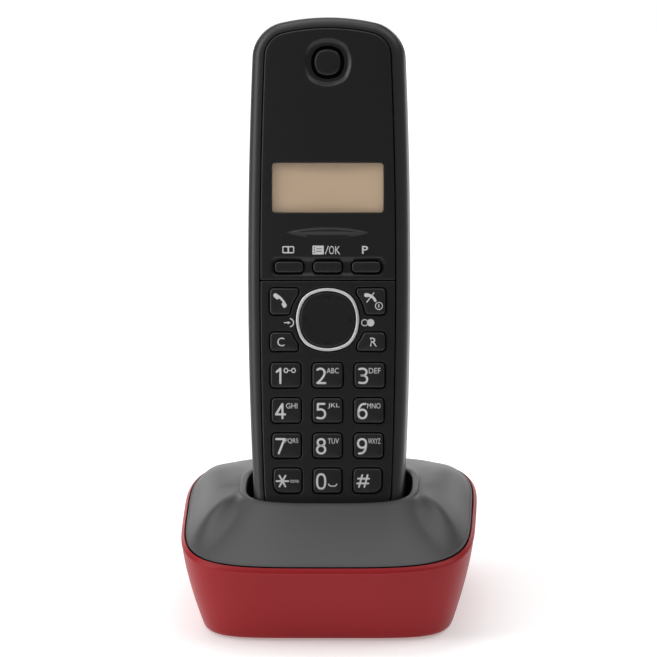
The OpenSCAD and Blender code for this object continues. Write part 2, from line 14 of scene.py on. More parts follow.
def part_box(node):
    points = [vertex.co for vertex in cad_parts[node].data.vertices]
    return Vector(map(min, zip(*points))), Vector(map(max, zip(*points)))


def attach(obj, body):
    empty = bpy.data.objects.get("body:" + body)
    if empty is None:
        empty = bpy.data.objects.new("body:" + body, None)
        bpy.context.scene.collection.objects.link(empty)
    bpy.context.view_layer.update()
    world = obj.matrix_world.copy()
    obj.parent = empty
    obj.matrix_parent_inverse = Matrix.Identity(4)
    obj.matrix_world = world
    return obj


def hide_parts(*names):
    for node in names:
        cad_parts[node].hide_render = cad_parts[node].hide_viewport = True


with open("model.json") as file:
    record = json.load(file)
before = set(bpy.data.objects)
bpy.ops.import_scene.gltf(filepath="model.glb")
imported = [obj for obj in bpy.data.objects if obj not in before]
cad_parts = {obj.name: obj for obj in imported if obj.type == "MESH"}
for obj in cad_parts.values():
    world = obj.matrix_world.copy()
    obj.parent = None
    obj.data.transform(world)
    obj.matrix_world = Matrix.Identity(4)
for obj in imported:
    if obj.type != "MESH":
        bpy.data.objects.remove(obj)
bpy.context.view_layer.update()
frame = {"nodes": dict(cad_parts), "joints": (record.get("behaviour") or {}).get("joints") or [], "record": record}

MM = 0.001

# ---- The two frames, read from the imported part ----

JOINTS = {joint["name"]: joint for joint in frame["joints"]}
ALONG = np.array(JOINTS["handset_lift"]["axis"], float)
PRESS = np.array(JOINTS["key_5_press"]["axis"], float)
ACROSS = np.array([1.0, 0.0, 0.0])
PIVOT_DEPTH, NAV_Z = 2.8, 61.7
ORIGIN = np.array(JOINTS["nav_tilt_up_down"]["pos_m"], float) / MM - PIVOT_DEPTH * PRESS - NAV_Z * ALONG


def node_box(node):
    low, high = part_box(node)
    return np.array(low) / MM, np.array(high) / MM


BASE_LOW, BASE_HIGH = node_box("base_lower_shell")
BASE_Y = (BASE_LOW[1] + BASE_HIGH[1]) / 2


def docked(points):
    """From the handset's own frame (across, depth from its face, up its length) to the shared frame."""
    p = np.asarray(points, float)
    return ORIGIN + p[..., 0:1] * ACROSS + p[..., 1:2] * PRESS + p[..., 2:3] * ALONG


def based(points):
    """From the base's own frame to the shared frame."""
    return np.asarray(points, float) + np.array([0, BASE_Y, 0])


# ---- Sizes shared with the frame ----

BASE_A = (BASE_HIGH[0] - BASE_LOW[0]) / 2
BASE_B = (BASE_HIGH[1] - BASE_LOW[1]) / 2
FOOT = BASE_LOW[2]
RIM_H, RIM_CLIMB, LIP_W, RIM_GAP = 27.9, 0.065, 1.1, 0.3
BASE_WALL, SIDE_DRAW, FRONT_DRAW, WALL_POWER = 2.2, 6.5, 7.3, 1.37
RIM_POWER, FOOT_POWER = 4.0, 5.4
# The deck's edge stands this much above the plane of the rim, over a dark undercut.
DECK_PROUD, DECK_INSET = 0.3, 0.5
DECK_A, DECK_B = BASE_A - LIP_W - RIM_GAP, BASE_B - LIP_W - RIM_GAP
COLLAR_H, COLLAR_CLIMB = 36.6, 0.018
SLOT_A, SLOT_B, SLOT_Y, SLOT_POWER = 24.7, 16.6, 2.4, 3.45
BEAD_W, BEAD_DROP, BEAD_FRONT_DROP = 2.4, 0.9, 0.3
# Hollows for the feet and holes for the screws, in the base's own frame: spots, radius and top.
FOOT_SPOTS, FOOT_R, FOOT_TOP = [(x, y) for x in (-26, 26) for y in (-25, 25)], 5.2, FOOT + 0.62
SCREW_SPOTS, SCREW_R, SCREW_TOP = [(x, y) for x in (-32, 32) for y in (-12, 14)], 3.0, 3.2
SOCKET_GAP, SOCKET_CORNER, BUTTON_HOLE_R = 0.25, 0.8, 4.3
CONTACT_DEPTH, CONTACT_HOLE_R = 14.0, 1.8
HS_L, HS_W, HS_D = 152.0, 48.0, 28.2
HS_HALF, HS_MID = HS_W / 2, HS_L / 2
HS_CORNER, FOOT_CORNER, HS_BOW, FOOT_BOW = 11.0, 8.0, 1.3, 1.8
CROWN_R, BACK_R = 168.0, 120.0
HS_EDGE, RIM_EDGE, RIM_BACK, HS_WALL = 5.0, 3.0, 0.4, 2.0
BORDER, END_BORDER, SEAM, SPLIT_Z, PANEL_T = 3.9, 3.35, 0.3, 73.4, 2.2
PANEL_CORNER, PANEL_FOOT_CORNER = 7.1, 4.8
EAR_Z, LCD_Z, LCD_W, LCD_H = 138.5, 101.1, 33.5, 15.0
KEY_STAND, KEY_GAP, KEY_FOOT = 0.35, 0.35, 2.3
# On the handset's back: the battery bay, its cover, the case screws' wells and the ringer's grille.
BAY_ENDS, BAY_HALF = (31.7, 81.3), 11.8
COVER_ENDS, COVER_HALF, COVER_CORNER, COVER_T, COVER_GAP = (30.0, 84.0), 19.0, 5, 1.6, 0.2
RIB_COUNT, RIB_Z, RIB_PITCH, RIB_HALF, RIB_FALL = 6, 71, 1.5, 6.5, 0.28
CASE_SCREWS, CASE_SCREW_R = [(x, z) for x in (-15, 15) for z in (20, 134)], 2.5
GRILLE_Z, GRILLE_REACH, GRILLE_HOLE_R = 116, 3.2, 0.7


# ---- Outlines ----

def at_depth(outline, depth):
    """Points of an outline in the handset's face, at one depth or at one depth each."""
    return np.column_stack([outline[:, 0], np.broadcast_to(depth, len(outline)), outline[:, 1]])


def signed_power(value, power):
    return np.sign(value) * np.abs(value) ** power


def even_angles(count):
    """Angles of a superellipse at which its points lie evenly along the base's rim."""
    fine = np.linspace(0, 2 * math.pi, 20001)
    x = BASE_A * signed_power(np.cos(fine), 2 / RIM_POWER)
    y = BASE_B * signed_power(np.sin(fine), 2 / RIM_POWER)
    run = np.concatenate([[0], np.cumsum(np.hypot(np.diff(x), np.diff(y)))])
    return np.interp(np.arange(count) * run[-1] / count, run, fine)


ANGLES = even_angles(288)


def superellipse(a, b, power, angles=ANGLES):
    """A closed oval with half-widths a and b. Higher powers give straighter sides."""
    return np.stack([a * signed_power(np.cos(angles), 2 / power),
                     b * signed_power(np.sin(angles), 2 / power)], 1)


def arc(centre, radius, start, end, steps):
    """Part of a circle, without its end point."""
    t = start + (end - start) * np.arange(steps) / steps
    return np.stack([centre[0] + radius * np.cos(t), centre[1] + radius * np.sin(t)], 1)


def bow_radius(reach, radius, bow):
    """Radius of a side that bows out between its rounded corners."""
    return (reach * reach + (radius + bow) ** 2 - radius * radius) / (2 * bow)


def quarter(a, b, radius, bow_a, bow_b, sides, corners):
    """A quarter of a round-cornered outline whose sides bow out a little, from +x to +y."""
    cx, cy = a - radius - bow_a, b - radius - bow_b
    ra, rb = bow_radius(cy, radius, bow_a), bow_radius(cx, radius, bow_b)
    turn_a = math.atan2(cy, cx - a + ra)
    turn_b = math.atan2(cy - b + rb, cx)
    return np.concatenate([arc((a - ra, 0), ra, 0, turn_a, sides),
                           arc((cx, cy), radius, turn_a, turn_b, corners),
                           arc((0, b - rb), rb, turn_b, math.pi / 2, sides), [[0, b]]])


def around(up, low):
    """The whole outline, counter-clockwise, from a quarter for its upper half and one for its lower half."""
    return np.concatenate([up, up[-2::-1] * [-1, 1], low[1:] * [-1, -1], low[-2:0:-1] * [1, -1]])


def bowed(a, b, radius, bow_a=0.05, bow_b=0.05, sides=10, corners=12, centre=(0, 0)):
    q = quarter(a, b, radius, bow_a, bow_b, sides, corners)
    return around(q, q) + np.asarray(centre)


def rounded_polygon(corners, radii, steps=6):
    """A polygon with each corner replaced by a tangent arc."""
    points = []
    count = len(corners)
    for i, radius in enumerate(radii):
        here = np.array(corners[i], float)
        before = np.array(corners[i - 1], float) - here
        after = np.array(corners[(i + 1) % count], float) - here
        length_b, length_a = np.linalg.norm(before), np.linalg.norm(after)
        before, after = before / length_b, after / length_a
        half = math.acos(np.clip(before @ after, -1, 1)) / 2
        cut = min(radius / math.tan(half), 0.49 * min(length_b, length_a))
        start, end = here + before * cut, here + after * cut
        for t in np.linspace(0, 1, steps + 1):
            points.append((1 - t) ** 2 * start + 2 * t * (1 - t) * here + t ** 2 * end)
    return np.array(points)


def offset(loop, distance):
    """The loop moved inwards by a distance, or outwards by a negative one, along its own normals."""
    ahead = np.roll(loop, -1, 0) - loop
    ahead /= np.linalg.norm(ahead, axis=1)[:, None] + 1e-12
    behind = np.roll(ahead, 1, 0)
    normal = np.stack([-ahead[:, 1] - behind[:, 1], ahead[:, 0] + behind[:, 0]], 1) / 2
    scale = np.maximum((normal ** 2).sum(1), 0.4)
    return loop + distance * normal / scale[:, None]


def densify(loop, spacing):
    """The same loop with its long sides divided."""
    points = []
    for here, after in zip(loop, np.roll(loop, -1, 0)):
        steps = max(1, int(round(np.linalg.norm(after - here) / spacing)))
        points.extend(here + (after - here) * k / steps for k in range(steps))
    return np.array(points)


def inside(points, loop):
    """Which points lie inside a closed loop."""
    x, y = points[:, 0][:, None], points[:, 1][:, None]
    x0, y0 = loop[:, 0][None], loop[:, 1][None]
    x1, y1 = np.roll(loop[:, 0], -1)[None], np.roll(loop[:, 1], -1)[None]
    crosses = (y0 > y) != (y1 > y)
    at = x0 + (y - y0) * (x1 - x0) / np.where(y1 == y0, 1e-12, y1 - y0)
    return ((crosses & (x < at)).sum(1) % 2).astype(bool)


# ---- Meshes ----

# Edges that turn by more than this many degrees stay sharp.
SMOOTH_ANGLE = 38.0


def placed(name, data):
    """A new object in the scene that holds a mesh, curve, light or camera."""
    holder = bpy.data.objects.new(name, data)
    bpy.context.scene.collection.objects.link(holder)
    return holder


def weld(name, vertices, faces, smooth_angle=SMOOTH_ANGLE):
    """A Blender object from points in millimetres, its doubled points merged and its normals outward."""
    mesh = bpy.data.meshes.new(name)
    mesh.from_pydata([tuple(v) for v in np.asarray(vertices) * MM], [], [tuple(f) for f in faces])
    bm = bmesh.new()
    bm.from_mesh(mesh)
    bmesh.ops.remove_doubles(bm, verts=bm.verts, dist=2e-7)
    bmesh.ops.dissolve_degenerate(bm, edges=bm.edges, dist=1e-7)
    bmesh.ops.recalc_face_normals(bm, faces=bm.faces)
    bm.to_mesh(mesh)
    bm.free()
    mesh.shade_smooth()
    mesh.set_sharp_from_angle(angle=math.radians(smooth_angle))
    return placed(name, mesh)


def loft(rings, caps=(True, True), closed=False):
    """Points and faces of a skin through rings of equal length."""
    rings = [np.asarray(r, float) for r in rings]
    n = len(rings[0])
    vertices = np.concatenate(rings)
    faces = []
    pairs = [(k, k + 1) for k in range(len(rings) - 1)]
    if closed:
        pairs.append((len(rings) - 1, 0))
    for low, high in pairs:
        for i in range(n):
            j = (i + 1) % n
            faces.append((low * n + i, low * n + j, high * n + j, high * n + i))
    for wanted, k in zip(caps, (0, len(rings) - 1)):
        if wanted and not closed:
            centre = len(vertices)
            vertices = np.concatenate([vertices, rings[k].mean(0)[None]])
            faces += [(k * n + i, k * n + (i + 1) % n, centre) for i in range(n)]
    return vertices, faces


def joined(*parts):
    """Several shapes as one."""
    vertices, faces, start = [], [], 0
    for v, f in parts:
        vertices.append(v)
        faces += [tuple(i + start for i in face) for face in f]
        start += len(v)
    return np.concatenate(vertices), faces


def fill(outer, holes, extra=(), spacing=None):
    """Triangles over the region inside outer and outside holes, through the loops in extra."""
    loops = [outer, *holes, *extra]
    points = np.concatenate(loops)
    edges, start = [], 0
    for loop in loops:
        edges += [(start + i, start + (i + 1) % len(loop)) for i in range(len(loop))]
        start += len(loop)
    if spacing:
        low, high = outer.min(0), outer.max(0)
        gx, gy = np.meshgrid(np.arange(low[0], high[0], spacing), np.arange(low[1], high[1], spacing))
        gx[1::2] += spacing / 2
        grid = np.stack([gx.ravel(), gy.ravel()], 1)
        grid = grid[inside(grid, outer)]
        for hole in holes:
            grid = grid[~inside(grid, hole)]
        near = np.array([np.hypot(*(points - g).T).min() for g in grid])
        points = np.concatenate([points, grid[near > spacing * 0.45]])
    result = delaunay_2d_cdt([Vector(p) for p in points], edges, [], 0, 1e-5)
    spots = np.array([tuple(p) for p in result[0]])
    triangles = np.array([f for f in result[2] if len(f) == 3])
    middle = spots[triangles].mean(1)
    keep = inside(middle, outer)
    for hole in holes:
        keep &= ~inside(middle, hole)
    return spots, triangles[keep]


def plate(outer, holes, top, bottom, edge=0.3, hole_edge=0.22, creases=(), spacing=0.9):
    """A panel in the handset's frame: top(x, z) is its face, and all its edges are rounded over."""
    parts = []

    def rim(loop, radius, sign):
        rings = [at_depth(loop, bottom)]
        for turn in np.linspace(0, math.pi / 2, 5):
            moved = offset(loop, sign * radius * (1 - math.cos(turn)))
            depth = top(moved[:, 0], moved[:, 1]) + radius * (1 - math.sin(turn))
            rings.append(at_depth(moved, depth))
        parts.append(loft(rings, caps=(False, False)))
        return rings[-1][:, [0, 2]]

    inner_outer = rim(outer, edge, 1)
    inner_holes = [rim(hole, hole_edge, -1) for hole in holes]
    spots, triangles = fill(inner_outer, inner_holes, creases, spacing)
    parts.append((at_depth(spots, top(spots[:, 0], spots[:, 1])), triangles.tolist()))
    spots, triangles = fill(outer, holes)
    parts.append((at_depth(spots, bottom), triangles.tolist()))
    return joined(*parts)


def finish_piece(piece, body, finish, *nodes):
    """Gives a piece its finish and its body, and hides the CAD nodes it stands for."""
    piece.data.materials.clear()
    piece.data.materials.append(MATERIALS[finish])
    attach(piece, body)
    if nodes:
        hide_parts(*nodes)


def handset_piece(name, body, finish, shape, *nodes, smooth_angle=SMOOTH_ANGLE):
    """A finished piece from a shape in the handset's frame."""
    vertices, faces = shape
    finish_piece(weld(name, docked(vertices), faces, smooth_angle), body, finish, *nodes)


def cut(piece, cutters):
    """Cuts closed shapes, given as points and faces, out of a piece."""
    for vertices, faces in cutters:
        tool = weld("cutter", vertices, faces)
        modifier = piece.modifiers.new("cut", "BOOLEAN")
        modifier.operation = "DIFFERENCE"
        modifier.solver = "EXACT"
        modifier.object = tool
        evaluated = piece.evaluated_get(bpy.context.evaluated_depsgraph_get())
        mesh = bpy.data.meshes.new_from_object(evaluated)
        piece.modifiers.clear()
        old = piece.data
        piece.data = mesh
        bpy.data.meshes.remove(old)
        bpy.data.objects.remove(tool)
    piece.data.shade_smooth()
    piece.data.set_sharp_from_angle(angle=math.radians(SMOOTH_ANGLE))


def prism(outline, start, end, place):
    """A closed prism: outline in the plane, from start to end along the third direction, set by place."""
    rings = [place(np.column_stack([outline, np.full(len(outline), d)])) for d in (start, end)]
    return loft(rings)


def circle(centre, radius, steps=48):
    return arc(centre, radius, 0, 2 * math.pi, steps)


def along_depth(points):
    return docked(points[:, [0, 2, 1]])


def along_y(points):
    return based(points[:, [0, 2, 1]])


def box_outline(low, high):
    return np.array([(low[0], low[1]), (high[0], low[1]), (high[0], high[1]), (low[0], high[1])], float)


# ---- Materials ----

def new_material(name):
    material = bpy.data.materials.new(name)
    material.use_nodes = True
    tree = material.node_tree
    return material, tree, tree.nodes["Principled BSDF"]


def add_node(tree, kind, **values):
    """A new shader node with some of its inputs set. Underscores stand for the spaces in their names."""
    node = tree.nodes.new("ShaderNode" + kind)
    set_inputs(node, **values)
    return node


def set_inputs(node, **values):
    for name, value in values.items():
        node.inputs[name.replace("_", " ")].default_value = value


def wire(tree, *wires):
    """Links sockets. Each wire is a node and its output, then a node and its input."""
    for source, output, target, socket in wires:
        tree.links.new(source.outputs[output], target.inputs[socket])


def moulded(name, colour, roughness, grain=0.16, depth=0.02, mottle=0.06, specular=0.5):
    """Moulded plastic: a fine spark texture that also spreads its roughness, and a slow random drift of tone."""
    spread = 0.06
    material, tree, shader = new_material(name)
    place = add_node(tree, "TexCoord")
    fine = add_node(tree, "TexNoise", Scale=1 / (grain * MM), Detail=2)
    slow = add_node(tree, "TexNoise", Scale=60, Detail=3)
    shade = add_node(tree, "MapRange", To_Min=1 - mottle, To_Max=1 + mottle)
    tint = add_node(tree, "VectorMath")
    tint.operation = "SCALE"
    tint.inputs[0].default_value = colour
    rough = add_node(tree, "MapRange", To_Min=roughness - spread, To_Max=roughness + spread)
    bump = add_node(tree, "Bump", Strength=0.5, Distance=depth * MM)
    wire(tree, (place, "Object", fine, "Vector"), (place, "Object", slow, "Vector"),
         (slow, "Fac", shade, "Value"), (shade, "Result", tint, "Scale"),
         (tint, "Vector", shader, "Base Color"),
         (fine, "Fac", rough, "Value"), (rough, "Result", shader, "Roughness"),
         (fine, "Fac", bump, "Height"), (bump, "Normal", shader, "Normal"))
    set_inputs(shader, Specular_IOR_Level=specular)
    return material


def metal(name, colour, roughness, stretch=(1, 1, 1), depth=0.01, metallic=1.0):
    """Plated or brushed metal, its scratches drawn out along one axis."""
    spread = 0.3
    material, tree, shader = new_material(name)
    place = add_node(tree, "TexCoord")
    mapping = add_node(tree, "Mapping", Scale=stretch)
    lines = add_node(tree, "TexNoise", Scale=4000, Detail=3)
    rough = add_node(tree, "MapRange", To_Min=roughness * (1 - spread), To_Max=roughness * (1 + spread))
    bump = add_node(tree, "Bump", Strength=0.4, Distance=depth * MM)
    wire(tree, (place, "Object", mapping, "Vector"), (mapping, "Vector", lines, "Vector"),
         (lines, "Fac", rough, "Value"), (rough, "Result", shader, "Roughness"),
         (lines, "Fac", bump, "Height"), (bump, "Normal", shader, "Normal"))
    set_inputs(shader, Base_Color=(*colour, 1), Metallic=metallic)
    return material


def clear_window(name):
    """A clear lens: mostly see-through, with a polished face."""
    material, _, shader = new_material(name)
    set_inputs(shader, Base_Color=(0.9, 0.88, 0.84, 1), Roughness=0.08, Alpha=0.06)
    return material


# What the two kinds of finish take, by the name of the material slot.
PRINT = dict(roughness=0.55, grain=0.12, depth=0.004, mottle=0.04, specular=0.3)
PLASTICS = {
    "shell_black": dict(colour=(0.018, 0.018, 0.018), roughness=0.42),
    "panel_black": dict(colour=(0.009, 0.009, 0.0098), roughness=0.4),
    "keypad_black": dict(colour=(0.0068, 0.007, 0.0072), roughness=0.42),
    "key_black": dict(colour=(0.0115, 0.0115, 0.0125), roughness=0.4, depth=0.012),
    "pad_black": dict(colour=(0.0075, 0.0078, 0.0085), roughness=0.4, depth=0.012),
    "base_red": dict(colour=(0.315, 0.014, 0.018), roughness=0.4, depth=0.015, mottle=0.03, specular=0.2),
    "deck_grey": dict(colour=(0.043, 0.043, 0.0443), roughness=0.46, mottle=0.03, specular=0.52),
    "rubber": dict(colour=(0.015, 0.015, 0.015), roughness=0.75, grain=0.3, depth=0.05),
    "circuit_board": dict(colour=(0.02, 0.12, 0.05), roughness=0.35, grain=0.5),
    "transformer": dict(colour=(0.5, 0.35, 0.08), roughness=0.45, grain=0.6),
    "capacitor": dict(colour=(0.02, 0.03, 0.1), roughness=0.25),
    "socket_black": dict(colour=(0.008, 0.008, 0.008), roughness=0.4),
    "button_grey": dict(colour=(0.04, 0.04, 0.042), roughness=0.42),
    "display_tan": dict(colour=(0.665, 0.468, 0.293), roughness=0.6, grain=0.3, depth=0.002, mottle=0.03),
    "light_guide": dict(colour=(0.8, 0.8, 0.78), roughness=0.5),
    "speaker_black": dict(colour=(0.02, 0.02, 0.02), roughness=0.6, grain=0.5, depth=0.05),
    # Near-black ring in the earpiece's sound slot: painted shade for the dark depth of the opening.
    "slot_shade_black": dict(colour=(0.002, 0.002, 0.002), roughness=0.9, grain=0.1, depth=0.05, specular=0.05),
    "mat_rubber": dict(colour=(0.05, 0.05, 0.052), roughness=0.7),
    "cell_wrap": dict(colour=(0.03, 0.14, 0.26), roughness=0.3, mottle=0.1),
    "rocker_grey": dict(colour=(0.08, 0.08, 0.085), roughness=0.5),
    "legend_white": dict(colour=(0.68, 0.68, 0.68), **PRINT),
    "mark_dark": dict(colour=(0.004, 0.004, 0.004), **PRINT),
}
METALS = {
    "screw_steel": dict(colour=(0.55, 0.55, 0.57), roughness=0.35),
    "tinplate": dict(colour=(0.7, 0.7, 0.72), roughness=0.3, stretch=(1, 6, 1)),
    "contact_metal": dict(colour=(0.83, 0.72, 0.5), roughness=0.22),
    "ring_silver": dict(colour=(0.7, 0.705, 0.71), roughness=0.4, depth=0.004, metallic=0.4),
    "dome_steel": dict(colour=(0.7, 0.7, 0.7), roughness=0.25),
    "spring_steel": dict(colour=(0.7, 0.7, 0.72), roughness=0.25),
}
MATERIALS = {name: moulded(name, **values) for name, values in PLASTICS.items()}
MATERIALS.update({name: metal(name, **values) for name, values in METALS.items()})
MATERIALS["window_clear"] = clear_window("window_clear")
for entry in frame["record"]["subparts"]:
    node = frame["nodes"][entry["node"]]
    for holder in node.material_slots:
        holder.material = MATERIALS[entry["material_slot"]]


# ---- Base ----

def wall_ring(height, inset):
    """A ring of the base's wall, height from 0 at its foot to 1 at its rim."""
    draw = (1 - height) ** WALL_POWER
    p = superellipse(BASE_A - SIDE_DRAW * draw - inset, BASE_B - FRONT_DRAW * draw - inset,
                     FOOT_POWER + (RIM_POWER - FOOT_POWER) * height)
    z = FOOT + (RIM_H - FOOT) * height + RIM_CLIMB * height * p[:, 1]
    return np.column_stack([p, z])


def flat_ring(inset_a, inset_b, z):
    p = superellipse(BASE_A - inset_a, BASE_B - inset_b, FOOT_POWER)
    return np.column_stack([p, np.full(len(p), z)])


def rim_ring(a, b, drop):
    """A ring in the rising plane of the rim, or below it."""
    p = superellipse(a, b, RIM_POWER)
    return np.column_stack([p, RIM_H - drop + RIM_CLIMB * p[:, 1]])


def collar_ring(grow, drop):
    """A ring around the mouth of the well, in the rising plane of the collar, or below it."""
    p = superellipse(SLOT_A + grow, SLOT_B + grow, SLOT_POWER) + [0, SLOT_Y]
    return np.column_stack([p, COLLAR_H - drop + COLLAR_CLIMB * p[:, 1]])


def smooth_step(start, end, value):
    q = np.clip((value - start) / (end - start), 0, 1)
    return q * q * (3 - 2 * q)


# Degrees around the base from the middle of its front.
FROM_FRONT = np.abs((np.degrees(ANGLES) + 270) % 360 - 180)


def deck_swell(s):
    """How full the deck is between collar and rim: straight in front, full at the sides, less so behind."""
    crease = 59 + 14 * math.exp(-5 * s)
    beyond = FROM_FRONT - crease
    fullness = 3.1 * smooth_step(-15, 17, beyond) - 1.9 * smooth_step(103, 146, FROM_FRONT)
    skew = 1.5 * smooth_step(75, 120, FROM_FRONT)
    valley = 3 * s * (1 - s) ** 2 * np.exp(-(beyond / np.where(beyond < 0, 22, 8)) ** 2)
    return fullness * 4 * s * (1 - s) * (1 + skew * (s - 0.5)) - valley


def deck_ring(s, drop=0.0):
    """A ring of the deck, s from 0 beside the bead to 1 at the rim."""
    rim = rim_ring(DECK_A - DECK_INSET, DECK_B - DECK_INSET, -DECK_PROUD)
    ring = bead_ring(BEAD_W, BEAD_DROP, BEAD_FRONT_DROP) * (1 - s) + rim * s
    ring[:, 2] += deck_swell(s) - drop
    return ring


def bead_ring(grow, side_drop, front_drop):
    """A ring of the bead, whose section changes from the front to the sides and the back."""
    ring = collar_ring(grow, 0)
    side = smooth_step(56, 84, FROM_FRONT)
    ring[:, 2] -= side_drop * side + front_drop * (1 - side)
    return ring


def well_ring(a, b, z):
    """A ring of the well, which leans back with the handset."""
    p = superellipse(a, b, 5)
    local = np.column_stack([p[:, 0], p[:, 1] + HS_D / 2, np.full(len(p), z)])
    return docked(local) - np.array([0, BASE_Y, 0])


def build_base_shell():
    floor = FOOT + BASE_WALL
    ledge = 3.6
    # How far in from the rim's outline, and how far below its plane.
    lip = [(0, 1.5), (0, 1.25), (0.06, 1.05), (0.2, 0.85), (0.7, 0.22), (0.86, 0.1), (0.98, 0.14),
           (LIP_W, 0.32)]
    rings = [flat_ring(30, 30, FOOT)]
    rings += [flat_ring(SIDE_DRAW + inset, FRONT_DRAW + 0.3 + inset, FOOT + rise)
              for inset, rise in ((0.6, 0), (0.2, 0.1), (-0.05, 0.35))]
    rings += [wall_ring(h, 0) for h in np.linspace(0.035, 0.93, 22)]
    rings += [rim_ring(BASE_A - inset, BASE_B - inset, drop) for inset, drop in lip]
    rings += [rim_ring(BASE_A - inset, BASE_B - inset, ledge) for inset in (LIP_W, BASE_WALL)]
    rings += [wall_ring(h, BASE_WALL) for h in (0.7, 0.5, 0.3, 0.14)]
    rings += [flat_ring(9.2, 10.4, floor), flat_ring(30, 30, floor)]
    piece = weld("base_shell_skin", *loft([based(r) for r in rings]))
    cutters = []
    for name in ("dc_jack", "line_jack"):
        low, high = node_box(name)
        half, centre = (high - low) / 2 + SOCKET_GAP, (high + low) / 2
        outline = bowed(half[0], half[2], SOCKET_CORNER, sides=1, corners=5, centre=(centre[0], centre[2]))
        cutters.append(prism(outline, low[1] - BASE_Y + 3, BASE_B + 5, along_y))
    low, high = node_box("page_button")
    cutters.append(prism(circle((0, (low[2] + high[2]) / 2), BUTTON_HOLE_R), 30, BASE_B + 5, along_y))
    cutters += [prism(circle(spot, FOOT_R), -1, FOOT_TOP, based) for spot in FOOT_SPOTS]
    cutters += [prism(circle(spot, SCREW_R), -1, SCREW_TOP, based) for spot in SCREW_SPOTS]
    cut(piece, cutters)
    finish_piece(piece, "base", "base_red", "base_lower_shell")


def build_base_deck():
    # How far out from the collar, how far down at the sides, and how far down in front.
    bead = [(2.3, 0.84, 0.28), (2.18, 0.66, 0.24), (2.05, 0.36, 0.2), (1.93, 0.14, 0.16), (1.75, 0.03, 0.11),
            (1.4, 0, 0.06), (1.05, 0, 0.08), (0.7, 0.01, 0.22), (0.4, 0.05, 0.5), (0.16, 0.2, 0.9),
            (0.04, 0.45, 1.4), (0, 0.9, 2.0), (0, 2.4, 2.8)]
    edge = [(0.6, 3.3), (0.6, 0.4), (0.5, 0.2), (0.16, 0.02), (0, -0.08), (0.04, -0.2), (0.2, -0.28)]
    rings = [well_ring(*size) for size in ((6, 5, -2.5), (24.4, 16.9, -2.5), (24.8, 17.3, -2.1))]
    rings += [collar_ring(2.1, 4.2)]
    rings += [deck_ring(s, 2.4) for s in (0.12, 0.35, 0.6, 0.78)]
    rings += [rim_ring(DECK_A - 2, DECK_B - 2, 3.3)]
    rings += [rim_ring(DECK_A - inset, DECK_B - inset, drop) for inset, drop in edge]
    rings += [deck_ring(s) for s in np.linspace(1, 0, 60)]
    rings += [bead_ring(*step) for step in bead]
    rings += [well_ring(*size) for size in ((23.2, 15.7, 1.5), (22.8, 15.3, 0.1), (22.4, 14.9, -0.5),
                                            (6, 5, -0.5))]
    piece = weld("base_deck_skin", *loft([based(r) for r in rings]))
    cutters = []
    for side in ("left", "right"):
        low, high = node_box("charge_contact_" + side)
        spot = ((low[0] + high[0]) / 2, CONTACT_DEPTH)
        cutters.append(prism(circle(spot, CONTACT_HOLE_R), -6, 2, docked))
    cut(piece, cutters)
    finish_piece(piece, "base", "deck_grey", "base_deck")


# ---- Handset casing ----

def crown(x):
    """How far the front face falls away from its middle line."""
    return CROWN_R - np.sqrt(CROWN_R ** 2 - np.square(x))


def plain_face(x, z):
    return crown(x)


def back_depth(x, z):
    return (HS_D - 0.0037 * np.maximum(0, 22 - z) ** 2 - 0.0007 * np.maximum(0, z - 84) ** 2
            - np.square(x) / (2 * BACK_R))


def tall_outline(a, b, radius, low_radius, low_bow, sides, corners):
    """An outline in the handset's frame with its own corner radius and side bow in its lower half."""
    return around(quarter(a, b, radius, HS_BOW, HS_BOW, sides, corners),
                  quarter(a, b, low_radius, low_bow, HS_BOW, sides, corners)) + [0, HS_MID]


def hs_outline(inset):
    return tall_outline(HS_HALF - inset, HS_MID - inset, HS_CORNER - inset, FOOT_CORNER - inset, FOOT_BOW,
                        26, 18)


def panel_outline(grow, sides=60, corners=14):
    return tall_outline(HS_HALF - BORDER + grow, HS_MID - END_BORDER + grow, PANEL_CORNER + grow,
                        PANEL_FOOT_CORNER + grow, HS_BOW, sides, corners)


def front_ring(outline, depth):
    """An outline at a depth below the crowned front face."""
    return at_depth(outline, depth + crown(outline[:, 0]))


def back_ring(inset, rise, shrink=1.0):
    p = (hs_outline(inset) - [0, HS_MID]) * shrink + [0, HS_MID]
    return at_depth(p, back_depth(p[:, 0], p[:, 1]) - rise)


def edge_fall(radius, inset):
    """How far a rounded edge lies below its top, at an inset from its side."""
    return radius - math.sqrt(max(0.0, radius ** 2 - (radius - inset) ** 2))


def round_insets(radius, steps):
    """Insets that step evenly round a quarter circle, from its side to its top."""
    return [radius * (1 - math.cos(t)) for t in np.linspace(0, math.pi / 2, steps)]


